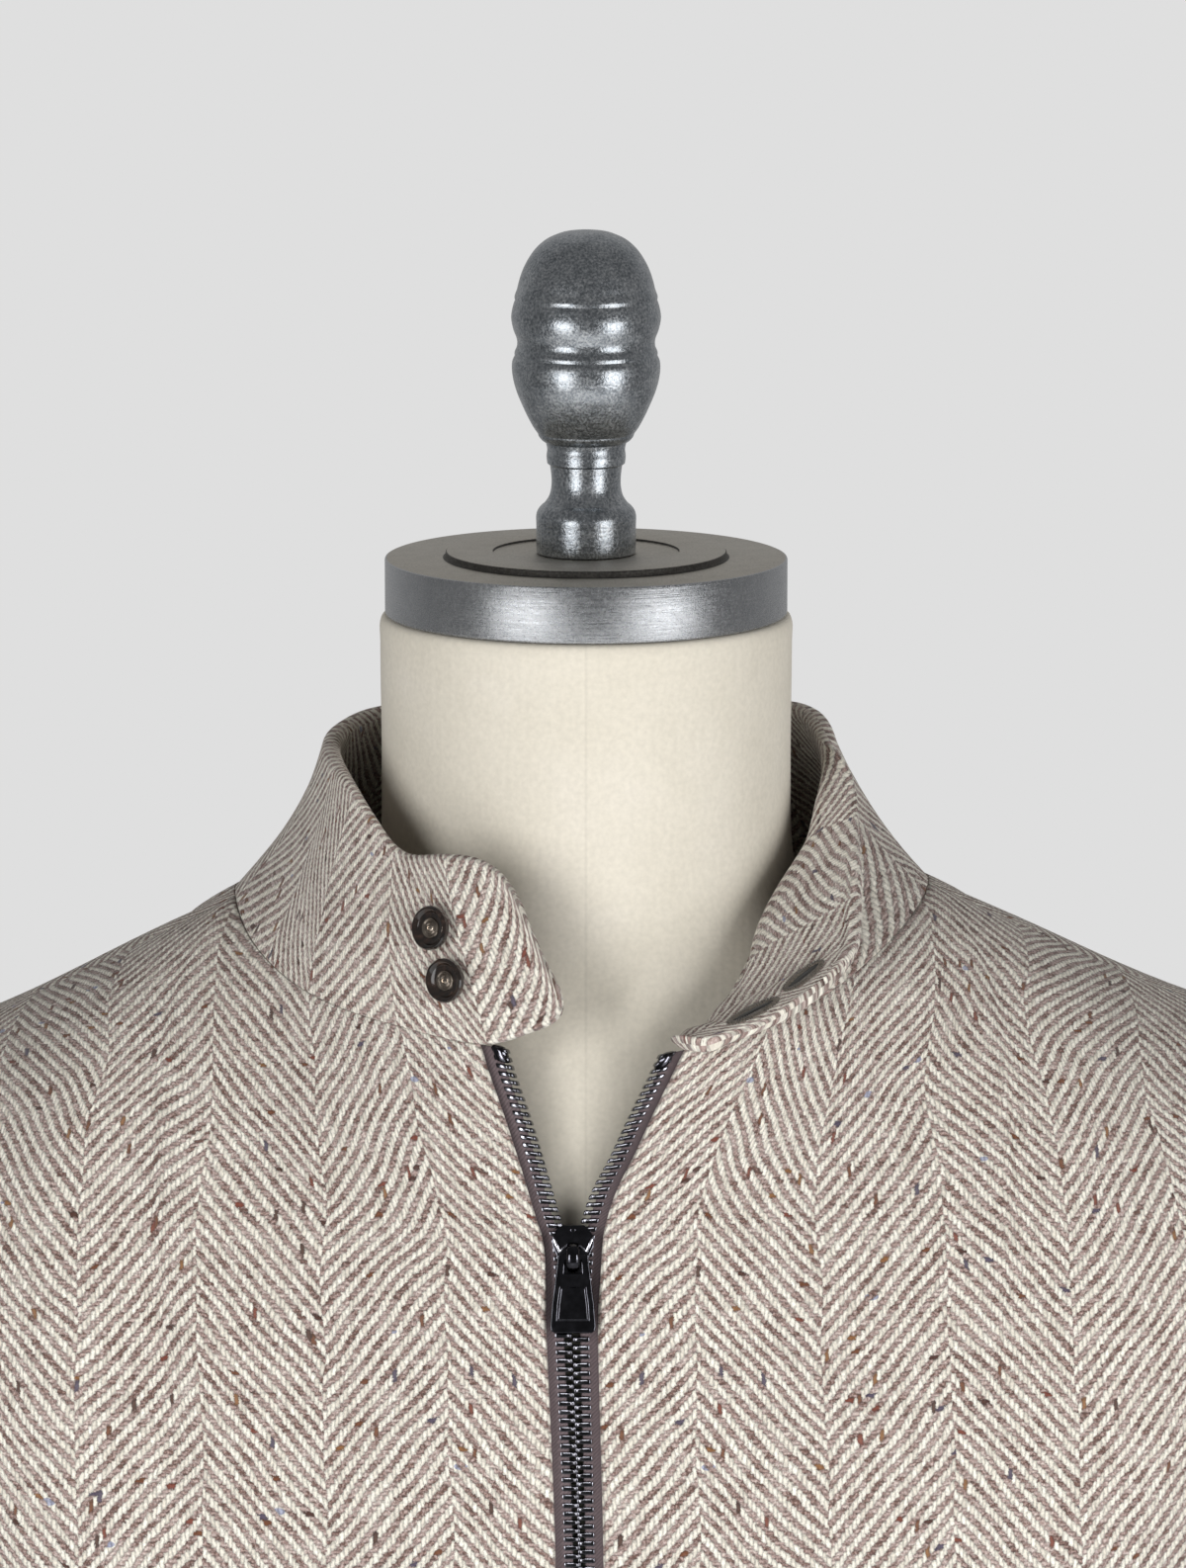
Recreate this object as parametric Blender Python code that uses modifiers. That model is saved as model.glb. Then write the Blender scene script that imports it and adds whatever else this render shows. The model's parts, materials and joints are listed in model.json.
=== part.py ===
"""A herringbone overcoat with a zip front and a buttoned stand collar, worn by a
limbless tailor's dress form on a round stand.

Blender 4.5, metres, +Z up.  The origin is the middle of the stand's underside, the coat
faces -Y, and +X is the wearer's left.  The tables below are in millimetres: x and y are
measured from the neck's axis, and drop is how far a point lies below the neck cap's face.
"""
import math
from functools import lru_cache

import bmesh
import bpy
from mathutils import Matrix, Vector

MM = 0.001

# --- the stand and the form -------------------------------------------------------------
CAP_FACE_HEIGHT = 1560.0      # neck cap's face above the floor
BASE_RADIUS = 210.0
BASE_THICKNESS = 22.0
POLE_RADIUS = 19.0
CLEARANCE = 0.3               # between pieces that touch in the real thing
CAP_THICKNESS = 15.8
CAP_RADIUS = 58.4
CAP_PLATEAU_RADIUS = 41.0
CAP_RECESS_RADIUS = 27.0
CAP_STEP = 1.6
FINIAL_FOOT_RADIUS = 14.5

# Turned profile of the finial: radius, height above the floor of the cap's recess.
FINIAL_PROFILE = (
    (0.0, 96.8), (6.0, 96.0), (11.0, 94.0), (15.0, 90.6), (17.9, 86.2), (19.7, 81.4),
    (20.6, 77.4), (21.5, 75.6), (21.6, 72.6), (20.4, 68.6), (19.7, 65.6), (20.1, 61.6),
    (21.3, 59.4), (21.2, 56.4), (20.0, 51.6), (17.9, 45.0), (15.0, 40.2), (13.2, 37.6),
    (11.4, 33.4), (11.5, 28.4), (9.8, 24.0), (10.6, 19.8), (13.6, 16.6), (14.7, 12.6),
    (FINIAL_FOOT_RADIUS, 0.0), (0.0, 0.0),
)

# Horizontal sections of the form: drop, half width, front reach, back reach, squareness.
FORM_SECTIONS = (
    (16.1, 58.0, 58.0, 58.0, 2.0), (17.8, 59.6, 59.6, 59.6, 2.0), (22.0, 60.0, 60.0, 60.0, 2.0),
    (60.0, 59.8, 59.8, 59.8, 2.0), (86.0, 60.6, 60.0, 60.8, 2.0), (97.0, 64.0, 62.0, 64.0, 2.0),
    (104.0, 76.0, 64.5, 67.0, 1.9), (110.0, 96.0, 67.5, 71.0, 1.8),
    (118.0, 113.0, 71.5, 75.0, 1.8), (128.0, 132.0, 77.0, 77.5, 1.8),
    (140.0, 153.0, 84.0, 79.0, 1.8), (153.0, 173.0, 90.0, 80.0, 1.9),
    (170.0, 187.0, 97.0, 82.5, 1.9), (200.0, 190.0, 105.0, 91.0, 2.0),
    (250.0, 184.0, 113.0, 104.0, 2.2), (310.0, 178.0, 117.0, 108.0, 2.3),
    (400.0, 168.0, 116.0, 104.0, 2.3), (480.0, 160.0, 110.0, 100.0, 2.2),
    (580.0, 171.0, 112.0, 111.0, 2.2), (680.0, 178.0, 112.0, 118.0, 2.2),
    (730.0, 177.0, 111.0, 117.0, 2.2), (740.0, 172.0, 107.0, 113.0, 2.2),
)

# --- the coat's body --------------------------------------------------------------------
CLOTH = 3.0                   # a coating wool with its turned facing
SLEEVE_CLOTH = 2.6
SEAM_GAP = 0.5                # between two cut pieces, measured along the cloth
NECK_POINT_EASE = 1.2         # extra at the corner where neckline and shoulder seam meet
HEM_DROP = 950.0
RING_DROP = 420.0             # below this the body is whole rings, above it hugs the form
RING_HEIGHT = 0.45            # the same level, as a share of the way from hem to upper edge
ARMHOLE_COLUMNS = 8           # along half an armhole, shared by body and sleeve

# Rings of the body: drop, half width, front reach, back reach, squareness.
BODY_RINGS = (
    (420.0, 198.0, 141.0, 131.0, 2.5), (520.0, 201.0, 142.0, 128.0, 2.4),
    (640.0, 208.0, 144.0, 136.0, 2.3), (780.0, 215.0, 147.0, 145.0, 2.3),
    (950.0, 223.0, 150.0, 152.0, 2.3),
)

# Hanging folds: face, side, centre (0 middle seam, 1 side seam), half width, depth at hem.
HEM_FOLDS = (
    ("front", -1, 0.56, 0.17, 7.0), ("front", -1, 0.86, 0.12, -6.0),
    ("front", 1, 0.50, 0.16, 6.0), ("front", 1, 0.82, 0.14, -7.0),
    ("back", -1, 0.24, 0.15, -9.0), ("back", -1, 0.52, 0.15, 8.0), ("back", -1, 0.82, 0.13, -6.0),
    ("back", 1, 0.20, 0.14, -8.0), ("back", 1, 0.47, 0.15, 9.0), ("back", 1, 0.78, 0.14, -7.0),
)
FOLD_START_DROP = 330.0

# The boundary above the body's sides, as shares of the way from middle to side seam.
NECK_SHARE = 0.30
TIP_SHARE = 0.60
RING_SHARES = ((0.0, 0.0), (NECK_SHARE, 0.34), (TIP_SHARE, 0.58), (0.80, 0.73), (0.90, 0.86),
               (1.0, 1.0))

# Armholes, from the shoulder tip down to the underarm: x, y, drop on an even shoulder.
ARMHOLE = {
    "front": ((228, 5, 153), (225, -32, 166), (215, -61, 206), (205, -76, 255),
              (197, -69, 306), (194, -36, 341), (193.5, 5, 351)),
    "back": ((228, 5, 153), (226, 42, 166), (218, 74, 204), (209, 88, 253),
             (200, 79, 306), (195, 46, 341), (193.5, 5, 351)),
}
SHOULDER_DROP = {-1: 4.0, 1: -3.5}     # the wearer's right shoulder sits lower on the form

# Where each column of cloth heads as it reaches the boundary: share, the way towards the
# neck, towards the other face, and up, and how strongly.
ARRIVAL = {
    "front": ((0.0, 0.0, 0.36, 0.93, 0.85), (0.15, 0.15, 0.62, 0.78, 0.9),
              (NECK_SHARE, 0.45, 0.85, 0.19, 1.0), (0.45, 0.1, 1.0, 0.04, 1.2),
              (TIP_SHARE, -0.15, 1.0, -0.06, 1.1), (0.667, -0.5, 0.80, 0.35, 0.8),
              (0.733, -0.6, 0.45, 0.65, 0.8), (0.80, -0.45, 0.2, 0.85, 0.8),
              (0.867, -0.2, 0.15, 0.97, 0.9), (0.933, 0.0, 0.0, 1.0, 1.0),
              (1.0, 0.0, 0.0, 1.0, 1.0)),
    "back": ((0.0, 0.0, 0.62, 0.78, 0.95), (0.15, 0.25, 0.70, 0.66, 1.0),
             (NECK_SHARE, 0.65, 0.75, 0.28, 1.0), (0.45, 0.1, 1.0, 0.04, 1.2),
             (TIP_SHARE, -0.15, 1.0, -0.06, 1.1), (0.667, -0.5, 0.80, 0.35, 0.8),
             (0.733, -0.6, 0.45, 0.65, 0.8), (0.80, -0.45, 0.2, 0.85, 0.8),
             (0.867, -0.2, 0.15, 0.97, 0.9), (0.933, 0.0, 0.0, 1.0, 1.0),
             (1.0, 0.0, 0.0, 1.0, 1.0)),
}

# --- the collar -------------------------------------------------------------------------
COLLAR_CLOTH = 5.0            # two plies and their interlining
COLLAR_CORNER = 11.5          # radius of its two front corners
COLLAR_HEIGHT = 48.0          # length of its front edge, for the corner rounding
ZIP_TOP_STATION = 2
NECK_POINT_STATION = 7
OTHER_NECK_POINT_STATION = 15
OTHER_ZIP_TOP_STATION = 20
MIDDLE_BACK_STATION = 11
BUTTON_STATION = 2.12
BUTTON_HEIGHTS = (0.31, 0.59)

# Outer face of the collar, from the buttoned tab round the back to the open end's tab:
# base x, y, drop, top x, y, drop, bulge of the middle.
COLLAR_STATIONS = (
    (-4.5, -101, 114, -24.5, -84, 74, 0), (-17, -98.5, 118.5, -33, -79.5, 72, 1),
    (-30, -95, 122.8, -42, -73.5, 72, 2), (-50, -86, 120.4, -53, -64.5, 73.2, 3),
    (-71, -71, 117, -62.5, -53, 64, 2), (-86, -55, 112, -69.8, -40, 56.5, 1),
    (-97, -36, 104.4, -74.5, -25, 52.8, 0), (-102.5, -10, 97, -76.5, -4, 52.3, 0),
    (-101, 16, 97.5, -74.5, 17, 52, 0), (-88, 50, 104, -63, 42, 53, 0),
    (-50, 79, 110, -37, 65, 55, 2), (0, 88, 112, 0, 73, 56, 2),
    (48, 79, 109, 34, 68, 54.5, 2), (84, 51, 102, 57, 51, 52.5, 0),
    (97.5, 17, 95, 70, 34, 52, 0), (100, -9, 93, 74.5, 15, 57, -6),
    (94.5, -34, 97.5, 78, -8, 68.5, 0), (82.5, -56, 105.5, 79, -26, 78, 0),
    (67.5, -74, 113.5, 79.5, -41, 86.5, 0), (48.5, -88, 120.3, 79, -54, 94.5, 0),
    (28.5, -94.9, 124.2, 78.5, -64, 101, 0), (29, -101, 123.5, 77.5, -70, 104.5, 0),
    (32, -104, 125, 76, -76, 107, 0),
)
# The open end rolls outwards: station, x, y, drop low in the roll, x, y, drop of its crest.
COLLAR_ROLL = (
    (16, 91, -29, 92.5, 72, -17, 74), (17, 80.4, -51.5, 100.6, 63, -37, 87),
    (18, 66, -70, 108, 54, -58, 99.5), (19, 48, -85.5, 115.5, 43, -76, 112.5),
    (20, 29, -93.8, 121.4, 35, -89, 119.5), (21, 35, -99, 121.5, 46, -94, 118),
    (22, 41, -100, 121.8, 56, -93, 117),
)

# --- the sleeves ------------------------------------------------------------------------
CUFF_DROP = 772.0
# Sleeve rings: drop, middle x, middle y, half thickness, half width.
SLEEVE_RINGS = (
    (400.0, 247.0, 9.0, 40.0, 88.0), (520.0, 247.0, 3.0, 39.0, 82.0),
    (640.0, 252.0, -6.0, 37.0, 75.0), (772.0, 259.0, -19.0, 34.0, 67.0),
)
FRONT_SEAM_TURN = 135.0       # degrees round the sleeve from its outer side, by the front
BACK_SEAM_TURN = 247.5

# --- the zip and the buttons ------------------------------------------------------------
ZIP_GAP = 13.4                # between the two cloth edges where the zip is closed
ZIP_BOTTOM_DROP = 938.0
ZIP_OPEN_DROP = 177.0         # the slider: above it the two sides part
ZIP_LEVEL_DROP = 167.0        # from here down both tapes lie level with each other
ZIP_PARTED_DROP = 145.0       # from here up each tape lies in its own cloth's plane
ZIP_OPEN_REACH = {-1: 22.0, 1: 24.0}
ZIP_OPEN_HEIGHT = 54.0
ZIP_LEAN = ((122.0, -1.2), (176.0, -3.5), (263.0, -1.8), (420.0, 0.0), (950.0, 0.0))
TAPE_THICKNESS = 1.0
TAPE_BEHIND_FACE = 3.7
TAPE_UNDER_CLOTH = 8.0
TEETH_WIDTH = 3.2
TEETH_THICKNESS = 3.0
PULL_LENGTH = 20.0
PULL_THICKNESS = 1.5
AXLE_ABOVE_PLATE = 1.5
SLIDER_PLATE_FACE = 0.6       # stands this far in front of the cloth's face
PULL_AXLE_BELOW_MIDDLE = 3.5
BUTTON_RADIUS = 6.35
BUTTON_THICKNESS = 2.8

COLLECTION_NAME = "overcoat_on_dress_form"


# --- small tools ------------------------------------------------------------------------
def spot(x, y, drop):
    """A place given in the tables' millimetres, as a vector in metres."""
    return Vector((x, y, CAP_FACE_HEIGHT - drop)) * MM


def smooth_row(rows, position):
    """The row at a position between rows, on a Catmull-Rom curve; position counts rows."""
    last = len(rows) - 1
    start = min(int(position), last - 1)
    f = position - start
    near = (rows[max(start - 1, 0)], rows[start], rows[start + 1], rows[min(start + 2, last)])
    return tuple(
        0.5 * (2 * b + (c - a) * f + (2 * a - 5 * b + 4 * c - d) * f * f
               + (3 * b - a - 3 * c + d) * f ** 3)
        for a, b, c, d in zip(*near)
    )


def row_for(rows, key):
    """The row at a value of the first column, eased between rows of uneven spacing."""
    if key <= rows[0][0]:
        return rows[0]
    for index in range(len(rows) - 1):
        if key <= rows[index + 1][0]:
            break
    low, high = rows[index], rows[index + 1]
    before = rows[max(index - 1, 0)]
    after = rows[min(index + 2, len(rows) - 1)]
    span = high[0] - low[0]
    f = min((key - low[0]) / span, 1.0)
    result = [key]
    for a, b, c, d in list(zip(before, low, high, after))[1:]:
        slope_low = (c - a) / max(high[0] - before[0], 1e-6)
        slope_high = (d - b) / max(after[0] - low[0], 1e-6)
        result.append(hermite(b, slope_low * span, c, slope_high * span, f))
    return tuple(result)


def hermite(start, leave, end, arrive, f):
    """Cubic curve from start to end with the two given tangents."""
    return (start * (2 * f ** 3 - 3 * f * f + 1) + leave * (f ** 3 - 2 * f * f + f)
            + end * (3 * f * f - 2 * f ** 3) + arrive * (f ** 3 - f * f))


def along(points, share):
    """The point at a share of a polyline's length."""
    steps = [(b - a).length for a, b in zip(points, points[1:])]
    left = share * sum(steps)
    for a, b, step in zip(points, points[1:], steps):
        if left <= step:
            return a.lerp(b, left / step if step else 0.0)
        left -= step
    return points[-1].copy()


def new_material(name, colour, roughness, metallic=0.0):
    """A plain Principled material."""
    material = bpy.data.materials.new(name)
    material.use_nodes = True
    shader = material.node_tree.nodes["Principled BSDF"]
    shader.inputs["Base Color"].default_value = (*colour, 1.0)
    shader.inputs["Roughness"].default_value = roughness
    shader.inputs["Metallic"].default_value = metallic
    return material


def add_object(name, mesh, material):
    """Wraps a mesh in an object of the part's collection."""
    thing = bpy.data.objects.new(name, mesh)
    mesh.materials.append(material)
    bpy.data.collections[COLLECTION_NAME].objects.link(thing)
    return thing


def grid_mesh(name, rows, closed=False):
    """A mesh of quads through rows of points; closed joins each row's end to its start."""
    mesh = bpy.data.meshes.new(name)
    width = len(rows[0])
    faces = []
    for r in range(len(rows) - 1):
        for c in range(width if closed else width - 1):
            right = (c + 1) % width
            faces.append((r * width + c, r * width + right,
                          (r + 1) * width + right, (r + 1) * width + c))
    mesh.from_pydata([point for row in rows for point in row], [], faces)
    return mesh


def cloth_wall(name, rows, thickness, material, flip):
    """A cloth piece: its outer face is the grid, and its thickness goes inwards."""
    mesh = grid_mesh(name, rows)
    if flip:
        mesh.flip_normals()
    piece = add_object(name, mesh, material)
    wall = piece.modifiers.new("wall", 'SOLIDIFY')
    wall.thickness = thickness * MM
    wall.offset = -1.0
    mesh.shade_smooth()
    return piece


def trim_grid(rows, gap):
    """Draws a grid's four edges in by half a seam gap."""
    half = gap * MM / 2
    rows = [[point.copy() for point in row] for row in rows]

    def draw_in(edge, inner):
        way = inner - edge
        return edge + way * min(half / max(way.length, 1e-9), 0.4)

    for row in rows:
        row[0], row[-1] = draw_in(row[0], row[1]), draw_in(row[-1], row[-2])
    rows[-1] = [draw_in(edge, inner) for edge, inner in zip(rows[-1], rows[-2])]
    return rows


def turned(name, profile, centre_drop, steps, material):
    """A solid of revolution on the neck's axis; profile rows are radius, height."""
    mesh = bpy.data.meshes.new(name)
    points = [(radius * MM, 0.0, height * MM) for radius, height in profile]
    mesh.from_pydata(points, [(i, i + 1) for i in range(len(points) - 1)], [])
    thing = add_object(name, mesh, material)
    thing.location = spot(0, 0, centre_drop)
    screw = thing.modifiers.new("turn", 'SCREW')
    screw.steps = steps
    screw.render_steps = steps
    screw.use_merge_vertices = True
    screw.merge_threshold = 0.00005
    screw.use_smooth_shade = True
    return thing


# --- the stand and the form -------------------------------------------------------------
def section_ring(row, count):
    """Points round a horizontal section: a superellipse with its own front and back."""
    drop, half_width, front, back, squareness = row
    ring = []
    for step in range(count):
        turn = 2 * math.pi * step / count
        reach = front if math.cos(turn) > 0 else back
        x = half_width * math.copysign(abs(math.sin(turn)) ** (2 / squareness), math.sin(turn))
        y = -reach * math.copysign(abs(math.cos(turn)) ** (2 / squareness), math.cos(turn))
        ring.append(spot(x, y, drop))
    return ring


def build_form(material):
    """The torso and neck, closed flat at the top and at the hips."""
    mesh = grid_mesh("form_body", [section_ring(row, 44) for row in FORM_SECTIONS], closed=True)
    bm = bmesh.new()
    bm.from_mesh(mesh)
    bmesh.ops.holes_fill(bm, edges=[edge for edge in bm.edges if edge.is_boundary])
    bmesh.ops.recalc_face_normals(bm, faces=bm.faces)
    bm.to_mesh(mesh)
    bm.free()
    mesh.shade_smooth()
    return add_object("form_body", mesh, material)


def build_stand(base_material, pole_material, cap_material):
    """Base plate, pole, neck cap and finial, all turned."""
    floor = CAP_FACE_HEIGHT
    base_profile = ((0.0, BASE_THICKNESS), (POLE_RADIUS + 9, BASE_THICKNESS),
                    (BASE_RADIUS * 0.55, BASE_THICKNESS - 3), (BASE_RADIUS - 10, BASE_THICKNESS - 9),
                    (BASE_RADIUS - 3, BASE_THICKNESS - 11.5), (BASE_RADIUS, BASE_THICKNESS - 15),
                    (BASE_RADIUS, 2.0), (BASE_RADIUS - 2, 0.0), (0.0, 0.0))
    turned("stand_base", base_profile, floor, 44, base_material)
    pole_top = CAP_FACE_HEIGHT - FORM_SECTIONS[-1][0] - CLEARANCE
    pole_foot = BASE_THICKNESS + CLEARANCE
    collar_height = 34.0
    pole_profile = ((0.0, pole_top), (POLE_RADIUS, pole_top), (POLE_RADIUS, pole_foot + collar_height),
                    (POLE_RADIUS + 7, pole_foot + collar_height - 4), (POLE_RADIUS + 7, pole_foot),
                    (0.0, pole_foot))
    turned("stand_pole", pole_profile, floor, 24, pole_material)
    cap_profile = ((0.0, CAP_STEP * 0.2), (CAP_RECESS_RADIUS - 0.8, CAP_STEP * 0.2),
                   (CAP_RECESS_RADIUS, CAP_STEP), (CAP_PLATEAU_RADIUS - 0.6, CAP_STEP),
                   (CAP_PLATEAU_RADIUS + 0.4, 0.0), (CAP_RADIUS - 0.8, 0.0), (CAP_RADIUS, -0.8),
                   (CAP_RADIUS, 0.8 - CAP_THICKNESS), (CAP_RADIUS - 0.8, -CAP_THICKNESS),
                   (0.0, -CAP_THICKNESS))
    turned("neck_cap", cap_profile, 0.0, 44, cap_material)
    turned("finial", FINIAL_PROFILE, -CAP_STEP * 0.2 - CLEARANCE, 28, cap_material)


# --- the coat's body --------------------------------------------------------------------
def collar_base(station):
    """Base line of the collar's outer face, which is also the neckline of the body."""
    x, y, drop = smooth_row(COLLAR_STATIONS, station)[:3]
    return Vector((x, y, drop))


def shoulder_shift(side, drop):
    """How much lower a side's shoulder sits, fading out to the underarm."""
    top, underarm = ARMHOLE["front"][0][2], ARMHOLE["front"][-1][2]
    return SHOULDER_DROP[side] * max(0.0, min(1.0, (underarm - drop) / (underarm - top)))


def armhole_point(face, side, share):
    """A point of the armhole, from the shoulder tip (0) to the underarm (1)."""
    rows = ARMHOLE[face]
    x, y, drop = smooth_row(rows, share * (len(rows) - 1))
    return Vector((side * x, y, drop + shoulder_shift(side, drop)))


def boundary_point(face, side, share):
    """The body's upper edge: neckline, then shoulder seam, then armhole."""
    if face == "front":
        ends = {-1: (ZIP_TOP_STATION, NECK_POINT_STATION),
                1: (OTHER_ZIP_TOP_STATION, OTHER_NECK_POINT_STATION)}
    else:
        ends = {-1: (MIDDLE_BACK_STATION, NECK_POINT_STATION),
                1: (MIDDLE_BACK_STATION, OTHER_NECK_POINT_STATION)}
    first, last = ends[side]
    if share <= NECK_SHARE:
        return collar_base(first + (last - first) * share / NECK_SHARE)
    if share <= TIP_SHARE:
        f = (share - NECK_SHARE) / (TIP_SHARE - NECK_SHARE)
        point = collar_base(last).lerp(armhole_point(face, side, 0.0), f)
        point.z += 2.5 * math.sin(math.pi * f)
        return point
    return armhole_point(face, side, (share - TIP_SHARE) / (1 - TIP_SHARE))


@lru_cache(maxsize=None)
def quarter_ring(face, drop):
    """A quarter of a body ring, from the middle to the side seam."""
    _, half_width, front, back, squareness = row_for(BODY_RINGS, drop)
    reach = -front if face == "front" else back
    count = 40
    return tuple(
        Vector((half_width * math.sin(turn) ** (2 / squareness),
                reach * math.cos(turn) ** (2 / squareness), drop))
        for turn in (0.5 * math.pi * step / count for step in range(count + 1))
    )


def fold_depth(face, side, share, drop):
    """How far the hanging folds push the cloth out."""
    fall = max(0.0, (drop - FOLD_START_DROP) / (HEM_DROP - FOLD_START_DROP))
    total = 0.0
    for fold_face, fold_side, centre, half_width, depth in HEM_FOLDS:
        away = abs(share - centre) / half_width
        if (fold_face, fold_side) == (face, side) and away < 1.0:
            total += depth * (0.5 + 0.5 * math.cos(math.pi * away))
    return total * fall ** 1.3


def ring_point(face, side, share, drop):
    """A point of a body ring with its folds."""
    arc = row_for(RING_SHARES, share)[1]
    point = along(quarter_ring(face, drop), arc)
    out = Vector((point.x, point.y * 1.3, 0.0)).normalized()
    point = point + out * fold_depth(face, side, share, drop)
    point.x *= side
    return point


def zip_spread(side, drop):
    """Sideways place of a front edge: half the gap, the zip's lean, and its opening."""
    opened = max(0.0, (ZIP_OPEN_DROP - drop) / ZIP_OPEN_HEIGHT)
    lean = row_for(ZIP_LEAN, drop)[1]
    return lean + side * (ZIP_GAP / 2 + ZIP_OPEN_REACH[side] * opened ** 1.45)


def body_point(face, side, share, height):
    """The body's outer face: height 0 is the hem, 1 the upper edge."""
    if height <= RING_HEIGHT:
        drop = HEM_DROP + (RING_DROP - HEM_DROP) * height / RING_HEIGHT
        point = ring_point(face, side, share, drop)
    else:
        f = (height - RING_HEIGHT) / (1 - RING_HEIGHT)
        start = ring_point(face, side, share, RING_DROP)
        end = boundary_point(face, side, share)
        if face == "front":
            end.x -= zip_spread(side, end.z) * edge_pull(share)
        _, inward, across, rise, strength = row_for(ARRIVAL[face], share)
        length = (end - start).length
        leave = Vector((0.0, 0.0, -length))
        if face == "back":
            across = -across
        arrive = Vector((-side * inward, across, -rise)) * length * strength
        point = hermite(start, leave, end, arrive, f)
    if face == "front":
        point.x += zip_spread(side, point.z) * edge_pull(share)
    return spot(*point)


def edge_pull(share):
    """How strongly a column follows the front edge: all at the edge, none at the neck point."""
    return max(0.0, 1.0 - share / NECK_SHARE) ** 1.4


def steps_between(first, last, count):
    """Even steps from first up to, but not including, last."""
    return [first + (last - first) * step / count for step in range(count)]


def body_rows(face, side):
    """Grid of one half of a face, from the hem up, from the middle to the side seam.

    Its columns meet the collar's stations and the sleeve's columns, and a narrow last row
    and column keep the rims of neighbouring pieces parallel.
    """
    neck_columns = 5 if face == "front" else 4
    shares = steps_between(0.0, NECK_SHARE, neck_columns)
    shares += steps_between(NECK_SHARE, TIP_SHARE, 4)
    shares += steps_between(TIP_SHARE, 1.0, ARMHOLE_COLUMNS) + [0.985, 1.0]
    heights = steps_between(0.0, RING_HEIGHT, 7) + steps_between(RING_HEIGHT, 0.85, 6)
    heights += steps_between(0.85, 1.0, 7) + [0.988, 1.0]
    rows = [[body_point(face, side, share, height) for share in shares] for height in heights]
    corner, below = rows[-1][neck_columns], rows[-2][neck_columns]
    rows[-1][neck_columns] = corner + (below - corner).normalized() * NECK_POINT_EASE * MM
    return rows


def build_body(material):
    """One back and two fronts."""
    for name, side in (("front_right", -1), ("front_left", 1)):
        rows = trim_grid(body_rows("front", side), SEAM_GAP)
        cloth_wall(name, rows, CLOTH, material, flip=side < 0)
    left = body_rows("back", 1)
    right = body_rows("back", -1)
    rows = [list(reversed(a)) + b[1:] for a, b in zip(left, right)]
    cloth_wall("back_panel", trim_grid(rows, SEAM_GAP), CLOTH, material, flip=False)


# --- the collar -------------------------------------------------------------------------
def corner_cut(distance):
    """How much of the collar's height its rounded corner takes this far from an end."""
    if distance >= COLLAR_CORNER:
        return 0.0
    inside = COLLAR_CORNER - distance
    return (COLLAR_CORNER - math.sqrt(COLLAR_CORNER ** 2 - inside ** 2)) / COLLAR_HEIGHT


@lru_cache(maxsize=None)
def collar_profile(station):
    """Base, low, high and top points of the collar's outer face at a station."""
    rows = []
    rolled = {row[0]: row[1:] for row in COLLAR_ROLL}
    for index, row in enumerate(COLLAR_STATIONS):
        base, top = Vector(row[0:3]), Vector(row[3:6])
        bulge = Vector((base.x + top.x, base.y + top.y, 0.0)).normalized() * row[6]
        between = (*(base.lerp(top, 1 / 3) + bulge), *(base.lerp(top, 2 / 3) + bulge))
        rows.append((*base, *rolled.get(index, between), *top))
    row = smooth_row(rows, station)
    return row[0:3], row[3:6], row[6:9], row[9:12]


def collar_point(station, height):
    """The collar's outer face: height 0 is the neckline seam, 1 the top edge."""
    return spot(*smooth_row(collar_profile(station), 3 * height))


def collar_rows(stations, height_steps):
    """Grid of the collar, with its free corners rounded."""
    last = len(COLLAR_STATIONS) - 1
    spacing = 14.0
    columns = []
    for station in stations:
        tab_cut = corner_cut(station * spacing)
        open_cut = corner_cut((last - station) * spacing / 2)
        low = max(tab_cut, open_cut)
        high = 1.0 - low
        columns.append([collar_point(station, low + (high - low) * step / height_steps)
                        for step in range(height_steps + 1)])
    return [list(row) for row in zip(*columns)]


def build_collar(material):
    """One stand collar: buttoned tab at the wearer's right, open end at the left."""
    last = len(COLLAR_STATIONS) - 1
    stations = [0, 0.12, 0.35] + list(range(1, last)) + [last - 0.5, last - 0.15, last]
    rows = collar_rows(stations, 6)
    for column in range(len(rows[0])):
        rise = (rows[1][column] - rows[0][column]).normalized()
        rows[0][column] = rows[0][column] + rise * SEAM_GAP * MM
    return cloth_wall("collar", rows, COLLAR_CLOTH, material, flip=True)


# --- the sleeves ------------------------------------------------------------------------
def sleeve_point(side, turn, height):
    """The sleeve's outer face: turn 0 is its outer side, 90 front; height 1 is the armhole."""
    turn %= 360.0
    face = "front" if turn <= 180 else "back"
    armhole_share = turn / 180 if turn <= 180 else (360 - turn) / 180
    cap_height = 0.6
    angle = math.radians(turn)
    top_drop = SLEEVE_RINGS[0][0]

    def ring_at(drop):
        _, x, y, half_thickness, half_width = row_for(SLEEVE_RINGS, drop)
        return Vector((side * (x + half_thickness * math.cos(angle)),
                       y - half_width * math.sin(angle), drop))

    if height <= cap_height:
        return spot(*ring_at(CUFF_DROP + (top_drop - CUFF_DROP) * height / cap_height))
    f = (1 - height) / (1 - cap_height)
    start = armhole_point(face, side, armhole_share)
    end = ring_at(top_drop)
    length = (end - start).length
    under = 0.5 - 0.5 * math.cos(angle)
    leave = Vector((side * (0.62 - 0.12 * under), -0.10 * math.sin(angle), 0.12 + 0.7 * under))
    return spot(*hermite(start, leave * length * (0.62 + 0.3 * under), end,
                         Vector((0, 0, 1)) * length * (0.95 - 0.1 * under), f))


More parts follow.
